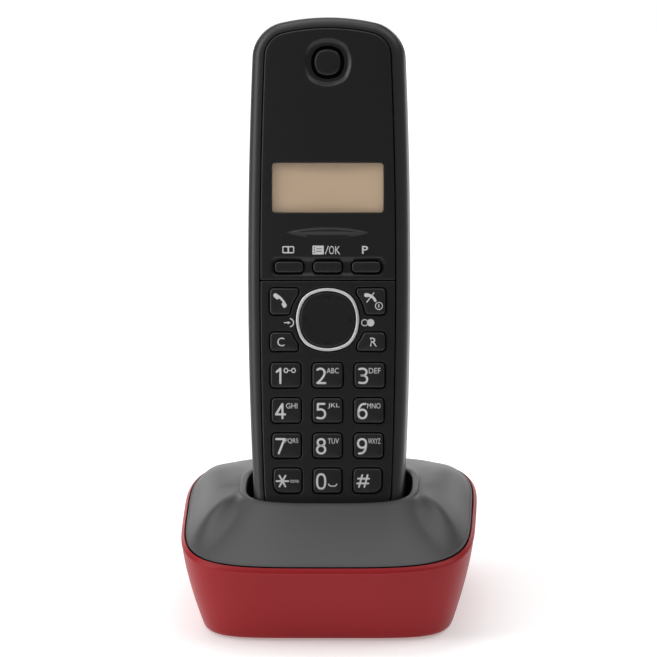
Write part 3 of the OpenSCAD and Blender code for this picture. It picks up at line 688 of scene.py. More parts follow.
def build_rear_shell():
    rings = [back_ring(HS_EDGE, 0, s) for s in np.linspace(0.04, 0.96, 16)]
    rings += [back_ring(i, edge_fall(HS_EDGE, i)) for i in reversed(round_insets(HS_EDGE, 10))]
    rings += [front_ring(hs_outline(i), RIM_BACK + edge_fall(RIM_EDGE, i)) for i in round_insets(RIM_EDGE, 9)]
    rings += [front_ring(panel_outline(SEAM + grow, 26, 18), depth)
              for grow, depth in ((0.12, RIM_BACK + 0.01), (0, RIM_BACK + 0.12), (0, 2.7))]
    rings += [front_ring(hs_outline(HS_WALL), 2.7)]
    inner_edge = HS_EDGE - HS_WALL
    rings += [back_ring(HS_WALL + i, HS_WALL + edge_fall(inner_edge, i)) for i in round_insets(inner_edge, 5)]
    rings += [back_ring(HS_EDGE, HS_WALL, s) for s in np.linspace(0.96, 0.04, 10)]
    piece = weld("rear_shell_skin", *loft([docked(r) for r in rings]))
    (low, high), half = BAY_ENDS, BAY_HALF
    cutters = [prism(box_outline((-half, low), (half, high)), 22, 40, along_depth)]
    cutters += [prism(circle(spot, CASE_SCREW_R, 32), 21.5, 40, along_depth) for spot in CASE_SCREWS]
    spots = [(0, 0)] + [(GRILLE_REACH * math.cos(t), -GRILLE_REACH * math.sin(t))
                        for t in np.arange(1, 7) * math.pi / 3]
    cutters += [prism(circle((x, GRILLE_Z + z), GRILLE_HOLE_R, 20), 20, 40, along_depth) for x, z in spots]
    cut(piece, cutters)
    finish_piece(piece, "handset", "shell_black", "rear_shell")


def build_battery_tray():
    """Walls and floor of the battery bay, just clear of the hole in the rear shell."""
    (low, high), half = BAY_ENDS, BAY_HALF
    gap, wall, front, back = 0.1, 1.1, 14.5, 26.6
    inner, outer = half + gap, half + gap + wall
    bottom, top = low - gap, high + gap
    walls = [((-outer, bottom - wall), (-inner, top + wall)), ((inner, bottom - wall), (outer, top + wall)),
             ((-inner, bottom - wall), (inner, bottom)), ((-inner, top), (inner, top + wall))]
    bay = [prism(box_outline(*corners), front, back, along_depth) for corners in walls]
    bay.append(prism(box_outline((-inner, bottom), (inner, top)), front, front + wall, along_depth))
    tray = weld("battery_tray", *joined(*bay))
    finish_piece(tray, "handset", "shell_black")


def build_battery_cover():
    """A crowned plate with rounded edges, and a ribbed patch where the thumb pushes it down."""
    low, high = COVER_ENDS
    middle, round_r = (low + high) / 2, 1.0

    def over_back(p, rise):
        radius = BACK_R + COVER_GAP + rise
        return at_depth(p, HS_D - BACK_R + np.sqrt(radius ** 2 - p[:, 0] ** 2))

    def ring(inset, rise, shrink=1.0):
        p = bowed(COVER_HALF - inset, (high - low) / 2 - inset, COVER_CORNER - inset, sides=12, corners=12)
        return over_back(p * shrink + [0, middle], rise)

    rings = [ring(0, 0, shrink) for shrink in (0.03, 0.4, 0.75, 1.0)] + [ring(0, 0.6)]
    rings += [ring(i, COVER_T - edge_fall(round_r, i)) for i in round_insets(round_r, 7)]
    rings += [ring(round_r, COVER_T, shrink) for shrink in np.linspace(0.95, 0.03, 12)]
    parts = [loft(rings)]
    # How far in from a rib's outline, and how far above the cover.
    section = ((0, -0.2), (0, 0.052), (0.08, 0.124), (0.22, 0.16), (0.38, 0.172))
    for k in range(RIB_COUNT):
        half = RIB_HALF - RIB_FALL * (k - (RIB_COUNT - 1) / 2) ** 2
        outline = bowed(half, 0.42, 0.4, 0.005, 0.005, sides=2, corners=5)
        parts.append(loft([over_back(offset(outline, inset) + [0, RIB_Z + RIB_PITCH * k], COVER_T + rise)
                           for inset, rise in section]))
    handset_piece("battery_cover_skin", "battery_cover", "shell_black", joined(*parts), "battery_cover")


# ---- Front panels ----

def part_of_panel(joint, above):
    """The panel's outline above or below a joint line, with small radii where the line meets its sides."""
    way = 1 if above else -1
    radius, chord, keep_off, line_off = 0.4, 0.12, 0.5, 1.2
    loop = panel_outline(0)
    side = loop[loop[:, 0] > 0]
    side = side[np.argsort(side[:, 1])]
    edge = np.interp(joint, side[:, 1], side[:, 0])
    kept = loop[(loop[:, 1] - joint) * way > keep_off]
    right, left = kept[kept[:, 0] >= 0], kept[kept[:, 0] < 0]
    right, left = right[np.argsort(right[:, 1])], left[np.argsort(-left[:, 1])]
    corner = [(edge - radius, joint), (edge - chord, joint + chord * way), (edge, joint + radius * way)]
    corner = corner[::way]
    mirrored = [(-x, z) for x, z in corner[::-1]]
    reach = way * (edge - line_off)
    line = [(x, joint) for x in np.linspace(-reach, reach, 40)]
    return np.array([*line, *corner, *right, *left, *mirrored] if above
                    else [*right, *corner, *line, *mirrored, *left])


# Corner radius and bow of the earpiece's square loops, as parts of their half-width.
EAR_ROUND, EAR_BOW = 0.6, 0.08
# Half-width of the square loops around the earpiece, and how deep the face lies there.
EAR_STEPS = [(7.3, 0.0), (7.12, 0.05), (6.9, 0.2), (6.6, 0.48), (6.3, 0.72), (6.0, 0.86), (5.6, 0.92),
             (5.0, 0.94), (4.95, 1.7), (4.0, 1.7), (3.88, 0.5), (3.8, 0.28), (3.6, 0.14), (3.3, 0.08),
             (2.4, 0.02)]
TROUGH_Z, TROUGH_W, TROUGH_H, TROUGH_R = 77.55, 34.2, 5.7, 2.0
# How far in from the trough's outline, and how deep the face lies there.
TROUGH_STEPS = [(0.0, 0.0), (0.15, 0.05), (0.35, 0.22), (0.6, 0.5), (0.8, 0.68), (1.0, 0.75)]
GRIP_Z, GRIP_W, GRIP_H = 87.55, 25.0, 3.9
# Section across the grip, from -1 at its lower edge to 1 at its upper edge, and how far the face stands out
# there: a hollow for the finger under a ridge.
GRIP_ACROSS = [-1, -0.82, -0.62, -0.2, 0.2, 0.36, 0.55, 0.8, 1]
GRIP_OUT = [0, -0.03, -0.2, -0.05, 0.42, 0.5, 0.4, 0.1, 0]


def ear_loop(half):
    bow = half * EAR_BOW
    return bowed(half, half, half * EAR_ROUND, bow, bow, sides=5, corners=12, centre=(0, EAR_Z))


def trough_loop(inset):
    trough = bowed(TROUGH_W / 2, TROUGH_H / 2, TROUGH_R, sides=14, corners=8, centre=(0, TROUGH_Z))
    return offset(trough, inset)


# Loops of the mesh within the grip: two stations of its section, and how far the loop reaches to its tips.
GRIP_LOOPS = [(-1, 1, 0.985), (-0.82, 0.8, 0.965), (-0.62, 0.55, 0.945), (-0.2, 0.36, 0.92), (0, 0.2, 0.89)]


def grip_loop(low, high, reach, steps=44):
    x = np.linspace(-reach, reach, steps + 1)
    half = GRIP_H / 2 * (1 - x ** 2)
    upper = np.stack([x * GRIP_W / 2, GRIP_Z + high * half], 1)
    lower = np.stack([x * GRIP_W / 2, GRIP_Z + low * half], 1)
    return np.concatenate([lower, upper[::-1]])


def stepped(levels, reach):
    """Depth by distance from an outline: levels is a list of (distance, depth)."""
    return np.interp(reach, *zip(*levels))


def square_distance(x, z):
    """Half-width of the earpiece loop that passes through a point."""
    size = np.maximum(np.abs(x), np.abs(z - EAR_Z))
    low, high = np.zeros_like(size), np.full_like(size, 20.0)
    for _ in range(24):
        middle = (low + high) / 2
        outside = ~inside_ear(x, z, middle)
        low = np.where(outside, middle, low)
        high = np.where(outside, high, middle)
    return (low + high) / 2


def inside_ear(x, z, half):
    """Whether a point is inside the earpiece loop of a half-width, by the loop's own arcs."""
    ax, az = np.abs(x), np.abs(z - EAR_Z)
    radius, bow = half * EAR_ROUND, half * EAR_BOW
    c = half - radius - bow
    big = (c ** 2 + (radius + bow) ** 2 - radius ** 2) / (2 * bow + 1e-9)
    corner = (ax - c) ** 2 + (az - c) ** 2 <= radius ** 2
    side = (ax + big - half) ** 2 + az ** 2 <= big ** 2
    top = ax ** 2 + (az + big - half) ** 2 <= big ** 2
    reach = np.arctan2(c, c - half + big)
    in_side = np.arctan2(az, ax + big - half) <= reach
    in_top = np.arctan2(ax, az + big - half) <= reach
    return np.where(in_side, side, np.where(in_top, top, corner | ((ax <= c) & (az <= c))))


def upper_face(x, z):
    depth = crown(x)
    half = square_distance(x, z)
    depth = depth + np.where(half < EAR_STEPS[0][0], stepped(sorted(EAR_STEPS), half), 0)
    dx = np.maximum(np.abs(x) - (TROUGH_W / 2 - TROUGH_R), 0)
    dz = np.maximum(np.abs(z - TROUGH_Z) - (TROUGH_H / 2 - TROUGH_R), 0)
    reach = TROUGH_R - np.hypot(dx, dz)
    depth = depth + np.where(reach > 0, stepped(TROUGH_STEPS, reach), 0)
    return depth - grip_rise(x, z)


def grip_rise(x, z):
    """How far the face stands out around the grip, which tapers to a point at both ends."""
    taper = np.maximum(1 - (2 * x / GRIP_W) ** 2, 1e-3)
    across = np.clip((z - GRIP_Z) / (GRIP_H / 2 * taper), -1, 1)
    return np.interp(across, GRIP_ACROSS, GRIP_OUT) * np.sqrt(taper)


SOFT_X, SOFT_Z, SOFT_W, SOFT_H, SOFT_CORNER = 11.5, 77.4, 8.5, 3.3, 1.2
SOFT_KEYS = {"softkey_left": -SOFT_X, "softkey_middle": 0.0, "softkey_right": SOFT_X}


def soft_loop(x, inset=0.0):
    return bowed(SOFT_W / 2 - inset, SOFT_H / 2 - inset, SOFT_CORNER - inset, 0.03, 0.03, sides=5, corners=12,
                 centre=(x, SOFT_Z))


def build_upper_panel():
    outer = part_of_panel(SPLIT_Z + SEAM / 2, above=True)
    window = bowed(LCD_W / 2, LCD_H / 2, 1.0, 0.03, 0.03, sides=12, corners=8, centre=(0, LCD_Z))
    holes = [window] + [soft_loop(x, -KEY_GAP) for x in SOFT_KEYS.values()]
    creases = [ear_loop(half) for half, _ in EAR_STEPS]
    creases += [trough_loop(inset) for inset in (0.02, 0.15, 0.35)]
    creases += [grip_loop(*loop) for loop in GRIP_LOOPS]
    shape = plate(outer, holes, upper_face, PANEL_T, edge=0.35, creases=creases)
    handset_piece("upper_panel_skin", "handset", "panel_black", shape, "upper_panel")


def build_ear_slot_shade():
    """A near-black ring at the bottom of the sound slot around the earpiece's middle: painted shade for the dark
    depth of the opening.
    """
    section = ((4.97, 1.72), (4.97, 1.4), (4.0, 1.4), (4.0, 1.72))
    rings = [front_ring(ear_loop(half), depth) for half, depth in section]
    handset_piece("earpiece_slot_shade", "handset", "slot_shade_black", loft(rings, closed=True))


# ---- Keys ----

ROW_X = [12.5, 12.3, 12.2, 11.9]
ROW_Z, ROW_PITCH, KEY_W, KEY_NARROW, KEY_H = 45.1, 10.5, 9.0, 0.2, 7.4
NUMBER_ROWS = [["key_1", "key_2", "key_3"], ["key_4", "key_5", "key_6"], ["key_7", "key_8", "key_9"],
               ["key_star", "key_0", "key_hash"]]
KEY_CORNER, OUTER_CORNER = 1.45, 3.2
NAV_W, NAV_STAND, NAV_EDGE, RING_W, RING_T = 16.5, 0.15, 0.5, 18.85, 0.9


def number_keys():
    """Name, centre, outline of each number key. The outer keys of the last row have fuller outer corners."""
    for row, names in enumerate(NUMBER_ROWS):
        for column, name in enumerate(names):
            x = (column - 1) * ROW_X[row]
            z = ROW_Z - row * ROW_PITCH
            width = KEY_W - row * KEY_NARROW
            radii = [KEY_CORNER] * 4
            if row == len(NUMBER_ROWS) - 1 and column != 1:
                radii[column // 2] = OUTER_CORNER
            corners = box_outline((x - width / 2, z - KEY_H / 2), (x + width / 2, z + KEY_H / 2))
            yield name, (x, z), densify(rounded_polygon(corners, radii, 8), 0.5)


def corner_keys():
    """The four keys round the pad, each hollowed on its inner side."""
    upper = [(-17.25, 63.2), (-11.4, 63.2), (-10.85, 65.5), (-9.81, 67.7), (-8.65, 69.3), (-8.65, 71.1),
             (-17.25, 71.1)]
    upper_radii = [1.5, 1.1, 8, 8, 2.5, 1.1, 1.5]
    lower = [(-17.15, 52.3), (-8.75, 52.3), (-8.75, 54.25), (-9.9, 55.9), (-10.85, 57.9), (-17.15, 57.9)]
    lower_radii = [1.5, 1.1, 2.5, 8, 1.1, 1.5]
    for name, corners, radii, side in (
            ("talk_key", upper, upper_radii, 1), ("off_key", upper, upper_radii, -1),
            ("clear_key", lower, lower_radii, 1), ("recall_key", lower, lower_radii, -1)):
        loop = rounded_polygon(corners, radii, 6) * [side, 1]
        loop = loop if side > 0 else loop[::-1]
        middle = (-12.95 * side, (corners[0][1] + corners[-1][1]) / 2)
        yield name, middle, densify(loop, 0.5)


def key_cap(loop_at, middle, pillow=0.22, edge=0.55, stand=KEY_STAND):
    """A key: straight sides, a rounded edge and a softly domed top. loop_at gives its outline at an inset."""
    face = float(crown(middle[0])) - stand
    centre = np.array(middle)
    rings = [at_depth(loop_at(0.0), KEY_FOOT)]
    rings += [at_depth(loop_at(edge * (1 - math.cos(t))), face + edge * (1 - math.sin(t)))
              for t in np.linspace(0, math.pi / 2, 7)]
    top = loop_at(edge)
    rings += [at_depth(centre + (top - centre) * s, face - pillow * (1 - s * s))
              for s in np.linspace(0.92, 0.04, 9)]
    return loft(rings)


def nav_loop(width):
    radius, bow = width * 0.34, width * 0.03
    return bowed(width / 2, width / 2, radius, bow, bow, sides=10, corners=26, centre=(0, NAV_Z))


def build_keypad_panel(key_holes):
    outer = part_of_panel(SPLIT_Z - SEAM / 2, above=False)
    holes = [offset(loop, -KEY_GAP) for loop in key_holes] + [nav_loop(RING_W + 0.7)]
    shape = plate(outer, holes, plain_face, PANEL_T, edge=0.35)
    handset_piece("keypad_panel_skin", "handset", "keypad_black", shape, "keypad_panel")


def build_nav_ring():
    """A bright ring of half-round section around the pad."""
    half, foot = RING_T / 2, 1.6
    profile = [(half * math.cos(t), 0.4 * (1 - math.sin(t)) - 0.35) for t in np.linspace(0, math.pi, 11)]
    rings = [front_ring(nav_loop(RING_W - RING_T + 2 * out), depth)
             for out, depth in [(half, foot), *profile, (-half, foot)]]
    shape = loft(rings, closed=True)
    handset_piece("nav_ring_skin", "handset", "ring_silver", shape, "nav_ring", smooth_angle=60)


def build_nav_pad():
    """The pad: a rounded edge round a shallow dish. Returns its shape, for the marks on it."""
    rings = [at_depth(nav_loop(NAV_W), 2.0)]
    for t in np.linspace(0, math.pi / 2, 7):
        width = NAV_W - 2 * NAV_EDGE * (1 - math.cos(t))
        rings.append(front_ring(nav_loop(width), NAV_EDGE * (1 - math.sin(t)) - NAV_STAND))
    centre, top = np.array([0, NAV_Z]), nav_loop(NAV_W - 2 * NAV_EDGE)
    rings += [front_ring(centre + (top - centre) * s, 0.3 * (1 - s * s) ** 1.5 - NAV_STAND)
              for s in np.linspace(0.95, 0.03, 14)]
    shape = loft(rings)
    handset_piece("nav_pad_skin", "nav_key", "pad_black", shape, "nav_key")
    return shape


# ---- Printed legends ----

INK = 0.035


def surface_of(shape):
    """Depth of a shape's face below any point of it, in the handset's frame."""
    vertices, faces = shape
    tree = BVHTree.FromPolygons([tuple(v) for v in vertices], [tuple(int(i) for i in f) for f in faces])

    def depth(x, z):
        hit = tree.ray_cast(Vector((x, -20, z)), Vector((0, 1, 0)))[0]
        return hit.y if hit else 0.0
    return depth


def stroke(points, width, closed=False):
    """Both edges of a pen line with round ends, or of a closed one, as a flat outline."""
    p = np.asarray(points, float)
    if closed:
        return [(offset(p, -width / 2), offset(p, width / 2))]
    step = np.gradient(p, axis=0)
    step /= np.linalg.norm(step, axis=1)[:, None] + 1e-12
    side = np.stack([-step[:, 1], step[:, 0]], 1) * width / 2
    start = math.atan2(step[0][1], step[0][0])
    end = math.atan2(step[-1][1], step[-1][0])
    tail = arc(p[0], width / 2, start + math.pi / 2, start + 3 * math.pi / 2, 8)
    nose = arc(p[-1], width / 2, end - math.pi / 2, end + math.pi / 2, 8)
    return [(np.concatenate([tail, p - side, nose, (p + side)[::-1]]),)]


def inked(spots, triangles, depth):
    """A closed thin solid from flat triangles, laid on a face."""
    top = np.array([depth(x, z) for x, z in spots]) - INK
    count = len(spots)
    vertices = np.concatenate([at_depth(spots, top), at_depth(spots, top + 2 * INK)])
    faces = [tuple(t) for t in triangles] + [tuple(i + count for i in reversed(t)) for t in triangles]
    edges = {(t[i], t[(i + 1) % 3]): True for t in triangles for i in range(3)}
    faces += [(a, b, b + count, a + count) for a, b in edges if (b, a) not in edges]
    return vertices, faces


def bend(points, per=6):
    """A smooth curve through points."""
    p = np.array(points, float)
    if len(p) == 2:
        return p[0] + (p[1] - p[0]) * np.linspace(0, 1, 7)[:, None]
    padded = np.concatenate([[2 * p[0] - p[1]], p, [2 * p[-1] - p[-2]]])
    out = []
    for i in range(1, len(padded) - 2):
        a, b, c, d = padded[i - 1:i + 3]
        for t in np.arange(per) / per:
            out.append(0.5 * (2 * b + (c - a) * t + (2 * a - 5 * b + 4 * c - d) * t ** 2
                              + (3 * b - a - 3 * c + d) * t ** 3))
    return np.array(out + [p[-1]])


def turn(cx, cy, radius, start, end, steps):
    """Part of a circle, with both its ends, between two angles in degrees."""
    t = np.radians(np.linspace(start, end, steps))
    return np.stack([cx + radius * np.cos(t), cy + radius * np.sin(t)], 1)


def blend_loop(cx, cy, rx, ry, power=2.0, steps=44):
    return superellipse(rx, ry, power, np.linspace(0, 2 * math.pi, steps, endpoint=False)) + [cx, cy]


def pen(*points):
    """An open pen path of a digit."""
    return bend(points), False


def oval(*sizes):
    """A closed pen path of a digit."""
    return blend_loop(*sizes), True


# Pen paths of the digits, in a box one unit wide and one high.
DIGITS = {
    "0": [oval(0.5, 0.5, 0.5, 0.5, 2.5)],
    "1": [pen((0.17, 0.78), (0.62, 1.0)), pen((0.62, 1.0), (0.62, 0.0))],
    "2": [pen((0.04, 0.93), (0.3, 1.0), (0.62, 0.98), (0.88, 0.85), (0.91, 0.67), (0.79, 0.48), (0.45, 0.22),
                 (0.02, 0.0)), pen((0.02, 0.0), (1.0, 0.0))],
    "3": [pen((0.03, 0.97), (0.36, 1.0), (0.7, 0.97), (0.92, 0.83), (0.87, 0.65), (0.62, 0.54), (0.3, 0.53)),
          pen((0.3, 0.53), (0.68, 0.51), (0.95, 0.39), (0.99, 0.22), (0.85, 0.06), (0.48, 0.0),
              (0.03, 0.03))],
    "4": [pen((0.8, 0.0), (0.8, 1.0)), pen((0.8, 1.0), (0.0, 0.27)), pen((0.0, 0.27), (1.12, 0.27))],
    "5": [pen((0.9, 1.0), (0.1, 1.0)), pen((0.1, 1.0), (0.08, 0.58)),
          pen((0.08, 0.58), (0.42, 0.62), (0.77, 0.56), (0.97, 0.38), (0.94, 0.16), (0.7, 0.02), (0.36, 0.0),
              (0.03, 0.03))],
    "6": [oval(0.5, 0.3, 0.5, 0.3, 2.1),
          pen((0.0, 0.3), (0.05, 0.6), (0.25, 0.86), (0.55, 0.98), (0.86, 1.0))],
    "7": [pen((0.0, 1.0), (1.0, 1.0)), pen((1.0, 1.0), (0.3, 0.0))],
    "8": [oval(0.5, 0.77, 0.43, 0.23, 2.1), oval(0.5, 0.27, 0.5, 0.27, 2.1)],
    "9": [oval(0.5, 0.7, 0.5, 0.3, 2.1),
          pen((1.0, 0.7), (0.95, 0.4), (0.76, 0.14), (0.45, 0.02), (0.12, 0.0))],
    "*": [pen((0.5 - 0.5 * c, 0.5 - 0.56 * q), (0.5 + 0.5 * c, 0.5 + 0.56 * q))
          for c, q in ((1.0, 0.0), (0.5, 0.87), (-0.5, 0.87))],
    "#": [pen((0.15, 0.0), (0.42, 1.0)), pen((0.6, 0.0), (0.87, 1.0)),
          pen((0.07, 0.7), (1.0, 0.7)), pen((0.0, 0.3), (0.93, 0.3))],
}


def glyph(character, left, low, width, height, weight):
    """Strokes of one digit or sign whose ink fills the box from left, low."""
    shapes = []
    for line, closed in DIGITS[character]:
        inner = line * [width - weight, height - weight] + [left + weight / 2, low + weight / 2]
        shapes += stroke(inner, weight, closed)
    return shapes


def lettering(text, left, low, height, width, fatten=0.0):
    """Flat triangles of a line of capitals, from the built-in typeface, that fill the box from left, low."""
    curve = bpy.data.curves.new("lettering", "FONT")
    curve.body = text
    curve.size = 10
    curve.offset = fatten * curve.size / height
    curve.resolution_u = 3
    holder = placed("lettering", curve)
    mesh = bpy.data.meshes.new_from_object(holder.evaluated_get(bpy.context.evaluated_depsgraph_get()))
    bm = bmesh.new()
    bm.from_mesh(mesh)
    bmesh.ops.triangulate(bm, faces=bm.faces)
    bm.verts.index_update()
    spots = np.array([v.co[:2] for v in bm.verts])
    triangles = [[v.index for v in f.verts] for f in bm.faces]
    bm.free()
    bpy.data.objects.remove(holder)
    bpy.data.meshes.remove(mesh)
    spots = (spots - spots.min(0)) / np.ptp(spots, axis=0) * [width, height] + [left, low]
    return spots, triangles


def legend(name, body, shapes, letters, depth, finish="legend_white"):
    """One printed piece, from flat outlines with their holes and from lettering."""
    parts = []
    for outer, *holes in shapes:
        spots, triangles = fill(outer, holes)
        parts.append(inked(spots, triangles.tolist(), depth))
    parts += [inked(spots, triangles, depth) for spots, triangles in letters]
    handset_piece(name, body, finish, joined(*parts), smooth_angle=20)


# Letters beside each digit: text, and how far their left and right ends lie from the key's middle.
LETTER_GROUPS = {"key_2": ("ABC", -0.25, 3.4), "key_3": ("DEF", -0.15, 3.35), "key_4": ("GHI", -0.1, 3.3),
                 "key_5": ("JKL", 0.15, 3.6), "key_6": ("MNO", -0.45, 3.55), "key_7": ("PQRS", -0.5, 3.45),
                 "key_8": ("TUV", 0.1, 3.45), "key_9": ("WXYZ", -0.1, 3.6)}
DIGIT_W, DIGIT_H, DIGIT_PEN = 3.05, 4.9, 0.62
DIGIT_LEFT, DIGIT_DROP = -3.4, 0.16
LETTER_H = 1.6


def number_legend(name, middle, depth):
    x, z = middle
    low = z - DIGIT_DROP - DIGIT_H / 2
    letters = []
    if name == "key_star":
        shapes = glyph("*", x - 3.6, z - 2.0, 4.1, 3.85, 0.52)
        letters.append(lettering("tone", x + 0.8, z - 0.55, 1.0, 2.55))
    elif name == "key_hash":
        shapes = glyph("#", x - 3.3, z - 2.05, 4.1, 4.05, 0.52)
    else:
        shapes = glyph(name[-1], x + DIGIT_LEFT, low, DIGIT_W, DIGIT_H, DIGIT_PEN)
    if name in LETTER_GROUPS:
        text, left, right = LETTER_GROUPS[name]
        letters.append(lettering(text, x + left, low + DIGIT_H - LETTER_H - 0.1, LETTER_H, right - left))
    if name == "key_1":
        shapes += stroke(blend_loop(x + 0.1, z + 1.45, 0.55, 0.62), 0.3, True)
        shapes += stroke(bend([(x + 0.95, z + 1.45), (x + 1.5, z + 1.45)]), 0.26)
        shapes += stroke(blend_loop(x + 2.35, z + 1.45, 0.55, 0.62), 0.3, True)
    if name == "key_0":
        smile = np.array([(0.35, -0.95), (0.75, -1.45), (1.6, -1.55), (2.4, -1.45), (2.8, -0.95)])
        shapes += stroke(bend(smile + [x, z]), 0.34)
    legend(name + "_legend", name, shapes, letters, depth)


# Telephone receivers, as outlines from their upper left end clockwise.
TALK_RECEIVER = [
    (-16.25, 69.0), (-16.05, 69.4), (-15.5, 69.65), (-14.9, 69.25), (-14.15, 68.75), (-13.4, 68.0),
    (-12.75, 67.1), (-12.15, 66.05), (-12.25, 65.6), (-12.85, 65.15), (-13.2, 65.35), (-13.75, 66.35),
    (-13.6, 66.65), (-13.3, 66.8), (-13.8, 67.45), (-14.4, 67.95), (-14.65, 68.0), (-14.8, 67.65),
    (-15.15, 67.75), (-16.0, 68.45)]
OFF_RECEIVER = [
    (10.9, 69.15), (11.2, 69.6), (11.95, 69.6), (12.85, 69.3), (13.7, 68.75), (14.35, 68.0), (14.7, 67.35),
    (14.35, 66.9), (13.95, 67.1), (13.65, 67.75), (13.2, 68.15), (12.6, 68.5), (12.1, 68.5), (11.55, 68.4),
    (11.05, 68.6)]


def solid_shape(points):
    """A filled outline through points, its corners softened."""
    return [(rounded_polygon(points, [0.35] * len(points), 4)[::-1],)]


def build_corner_legends(tops):
    legend("talk_legend", "talk_key", solid_shape(TALK_RECEIVER), [], tops["talk_key"])
    off = solid_shape(OFF_RECEIVER)
    off += stroke(bend([(11.75, 66.95), (13.85, 69.7)]), 0.3)
    off += stroke(blend_loop(15.35, 65.8, 1.05, 1.05), 0.26, True)
    off += stroke(bend([(15.3, 65.5), (15.3, 66.15)]), 0.36)
    legend("off_legend", "off_key", off, [], tops["off_key"])
    legend("clear_legend", "clear_key", [], [lettering("C", -15.0, 53.75, 2.6, 2.15)], tops["clear_key"])
    legend("recall_legend", "recall_key", [], [lettering("R", 12.7, 53.75, 2.6, 2.05)], tops["recall_key"])


def build_panel_legends():
    book_low, book_high = (-13.5, 81.5), (-9.95, 83.65)
    middle = (book_low[0] + book_high[0]) / 2
    pages = [box_outline((middle - 1.45, 81.85), (middle - 0.22, 83.3)),
             box_outline((middle + 0.22, 81.85), (middle + 1.45, 83.3))]
    soft = rounded_polygon(box_outline(book_low, book_high), [0.45] * 4)
    shapes = [(soft, *[page[::-1] for page in pages])]
    menu = rounded_polygon(box_outline((-4.5, 81.15), (-1.1, 83.8)), [0.3] * 4)
    bullets = [circle((-3.95, z), 0.2, 12)[::-1] for z in (81.75, 82.5, 83.2)]
    gaps = [box_outline((-3.4, z - 0.09), (-1.75, z + 0.09))[::-1] for z in (82.1, 82.85)]
    shapes += [(menu, *bullets, *gaps)]
    shapes += stroke(bend([(-0.65, 81.3), (0.25, 83.65)]), 0.22)
    letters = [lettering("O", 0.45, 81.2, 2.5, 1.55), lettering("K", 2.3, 81.25, 2.4, 1.5),
               lettering("P", 10.3, 81.35, 2.35, 1.8, 0.03)]
    legend("menu_legend", "handset", shapes, letters, plain_face)
    redial = stroke(bend([(-12.9, 60.8), (-11.9, 60.8)]), 0.3)
    redial += [(np.array([(-11.95, 60.35), (-11.0, 60.8), (-11.95, 61.25)]),)]
    redial += stroke(turn(-11.35, 60.8, 1.2, -78, 78, 18), 0.32)
    mute = stroke(blend_loop(11.1, 60.8, 0.92, 0.92), 0.26, True)
    mute.append((circle((12.85, 60.8), 1.1, 28),))
    legend("pad_legend", "handset", redial + mute, [], plain_face)


def build_nav_marks(shape):
    """Faint arrow marks at the four sides of the pad."""
    depth = surface_of(shape)
    shapes = []
    for angle in np.arange(4) * math.pi / 2:
        out = np.array([math.cos(angle), math.sin(angle)])
        side = np.array([-out[1], out[0]])
        tip = out * 7.0 + [0, NAV_Z]
        for way in (-1, 1):
            shapes += stroke(bend([tip - out * 0.6 + side * 0.8 * way, tip]), 0.3)
    legend("nav_marks", "nav_key", shapes, [], depth, "mark_dark")


# ---- Display ----

def build_display():
    """A tan reflector behind a clear window."""
    gap, corner = 0.1, 0.9

    def glass_outline(half_w, half_h, radius, bow=0.03):
        return bowed(half_w, half_h, radius, bow, bow, sides=8, corners=8, centre=(0, LCD_Z))

    window = glass_outline(LCD_W / 2 - gap, LCD_H / 2 - gap, corner)
    edge = ((0, 2.0), (0, 1.1), (0.03, 1.03), (0.1, 1.0))
    lens = loft([at_depth(offset(window, inset), depth) for inset, depth in edge])
    handset_piece("display_window_skin", "handset", "window_clear", lens, "display_window", smooth_angle=10)
    front = glass_outline(LCD_W / 2 - 0.12, LCD_H / 2 - 0.12, corner)
    back = glass_outline(18.7, 10, 0.5, 0.02)
    module = loft([at_depth(front, 2.08), at_depth(front, 2.5), at_depth(back, 2.5), at_depth(back, 4.1)])
    handset_piece("lcd_module_skin", "handset", "display_tan", module, "lcd_module", smooth_angle=10)


# ---- Everything ----

build_base_shell()
build_base_deck()
build_rear_shell()
build_battery_tray()
build_battery_cover()
build_upper_panel()
build_ear_slot_shade()
numbers = list(number_keys())
corners = list(corner_keys())
build_keypad_panel([loop for _, _, loop in numbers + corners])
build_nav_ring()
build_nav_marks(build_nav_pad())
tops = {}
for name, middle, loop in numbers + corners:
    shape = key_cap(partial(offset, loop), middle)
    tops[name] = surface_of(shape)
    handset_piece(name + "_cap", name, "key_black", shape, name)
for name, x in SOFT_KEYS.items():
    shape = key_cap(partial(soft_loop, x), (x, SOFT_Z), pillow=0.1, edge=0.45, stand=0.2)
    handset_piece(name + "_cap", name, "key_black", shape, name)
for name, middle, _ in numbers:
    number_legend(name, middle, tops[name])
build_corner_legends(tops)
build_panel_legends()
build_display()

# ---- Floor, light, camera ----

LIGHT_AIM = (0, 0, 0.08)


def build_floor(reach=0.6):
    mesh = bpy.data.meshes.new("floor")
    square = box_outline((-reach, -reach), (reach, reach))
    mesh.from_pydata([(*corner, 0) for corner in square], [], [(0, 1, 2, 3)])
    material, _, shader = new_material("floor_white")
    set_inputs(shader, Base_Color=(0.9, 0.9, 0.9, 1), Roughness=0.9, Emission_Color=(1, 1, 1, 1),
               Emission_Strength=0.32)
    mesh.materials.append(material)
    placed("floor", mesh)


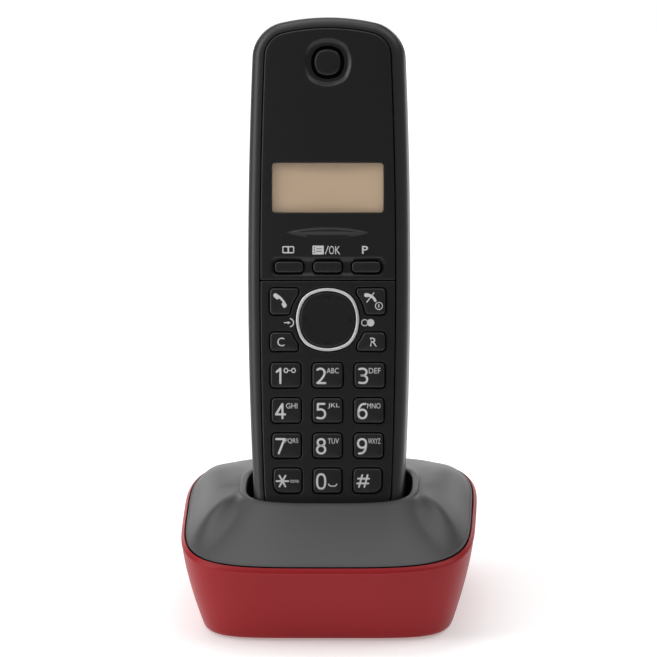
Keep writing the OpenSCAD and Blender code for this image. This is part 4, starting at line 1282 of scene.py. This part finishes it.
def softbox(name, place, size, power):
    """A rectangular light that faces the phone. Metres and watts."""
    light = bpy.data.lights.new(name, "AREA")
    light.shape = "RECTANGLE"
    light.size, light.size_y = size
    light.energy = power
    holder = placed(name, light)
    holder.location = place
    holder.rotation_euler = (Vector(LIGHT_AIM) - Vector(place)).to_track_quat("-Z", "Y").to_euler()


def build_world():
    """White where the camera looks past everything, and a dim studio for the light itself."""
    world = bpy.data.worlds.new("studio")
    world.use_nodes = True
    tree = world.node_tree
    room = tree.nodes["Background"]
    set_inputs(room, Color=(1, 1, 1, 1), Strength=0.12)
    seen = add_node(tree, "Background", Color=(1, 1, 1, 1), Strength=1.0)
    path = add_node(tree, "LightPath")
    mix = add_node(tree, "MixShader")
    wire(tree, (path, "Is Camera Ray", mix, "Fac"), (room, "Background", mix, 1),
         (seen, "Background", mix, 2), (mix, "Shader", tree.nodes["World Output"], "Surface"))
    bpy.context.scene.world = world


def build_camera():
    """Faces the handset squarely but for a small turn about its own length, so it stands upright in view."""
    distance, field, sensor, swing = 3.0, 0.196, 36.0, math.radians(2.5)
    target = Vector(docked(np.array([0.3, 0.0, 59.07])) * MM)
    up = Vector(ALONG)
    away = -Vector(PRESS) * math.cos(swing) + Vector(ACROSS) * math.sin(swing)
    right = up.cross(away)
    camera = bpy.data.cameras.new("camera")
    camera.sensor_width = sensor
    camera.lens = sensor * distance / field
    camera.clip_start = 0.01
    holder = placed("camera", camera)
    holder.matrix_world = Matrix((right, up, away)).transposed().to_4x4()
    holder.location = target + away * distance
    bpy.context.scene.camera = holder


build_floor()
softbox("key_left", (-1.15, -0.3, 0.5), (0.5, 0.9), 6.5)
softbox("high_left", (-0.75, 0.0, 1.0), (0.8, 0.8), 3.6)
softbox("high_right", (0.75, 0.0, 1.0), (0.8, 0.8), 4)
softbox("top_front", (0.0, -0.3, 1.15), (1.0, 0.5), 2)
softbox("top_back", (-0.1, 0.4, 1.1), (0.8, 0.5), 4)
softbox("backdrop", (-0.1, 1.5, 0.35), (2.0, 0.6), 9)
build_world()
build_camera()
bpy.context.scene.view_settings.view_transform = "Standard"
bpy.context.scene.view_settings.look = "None"
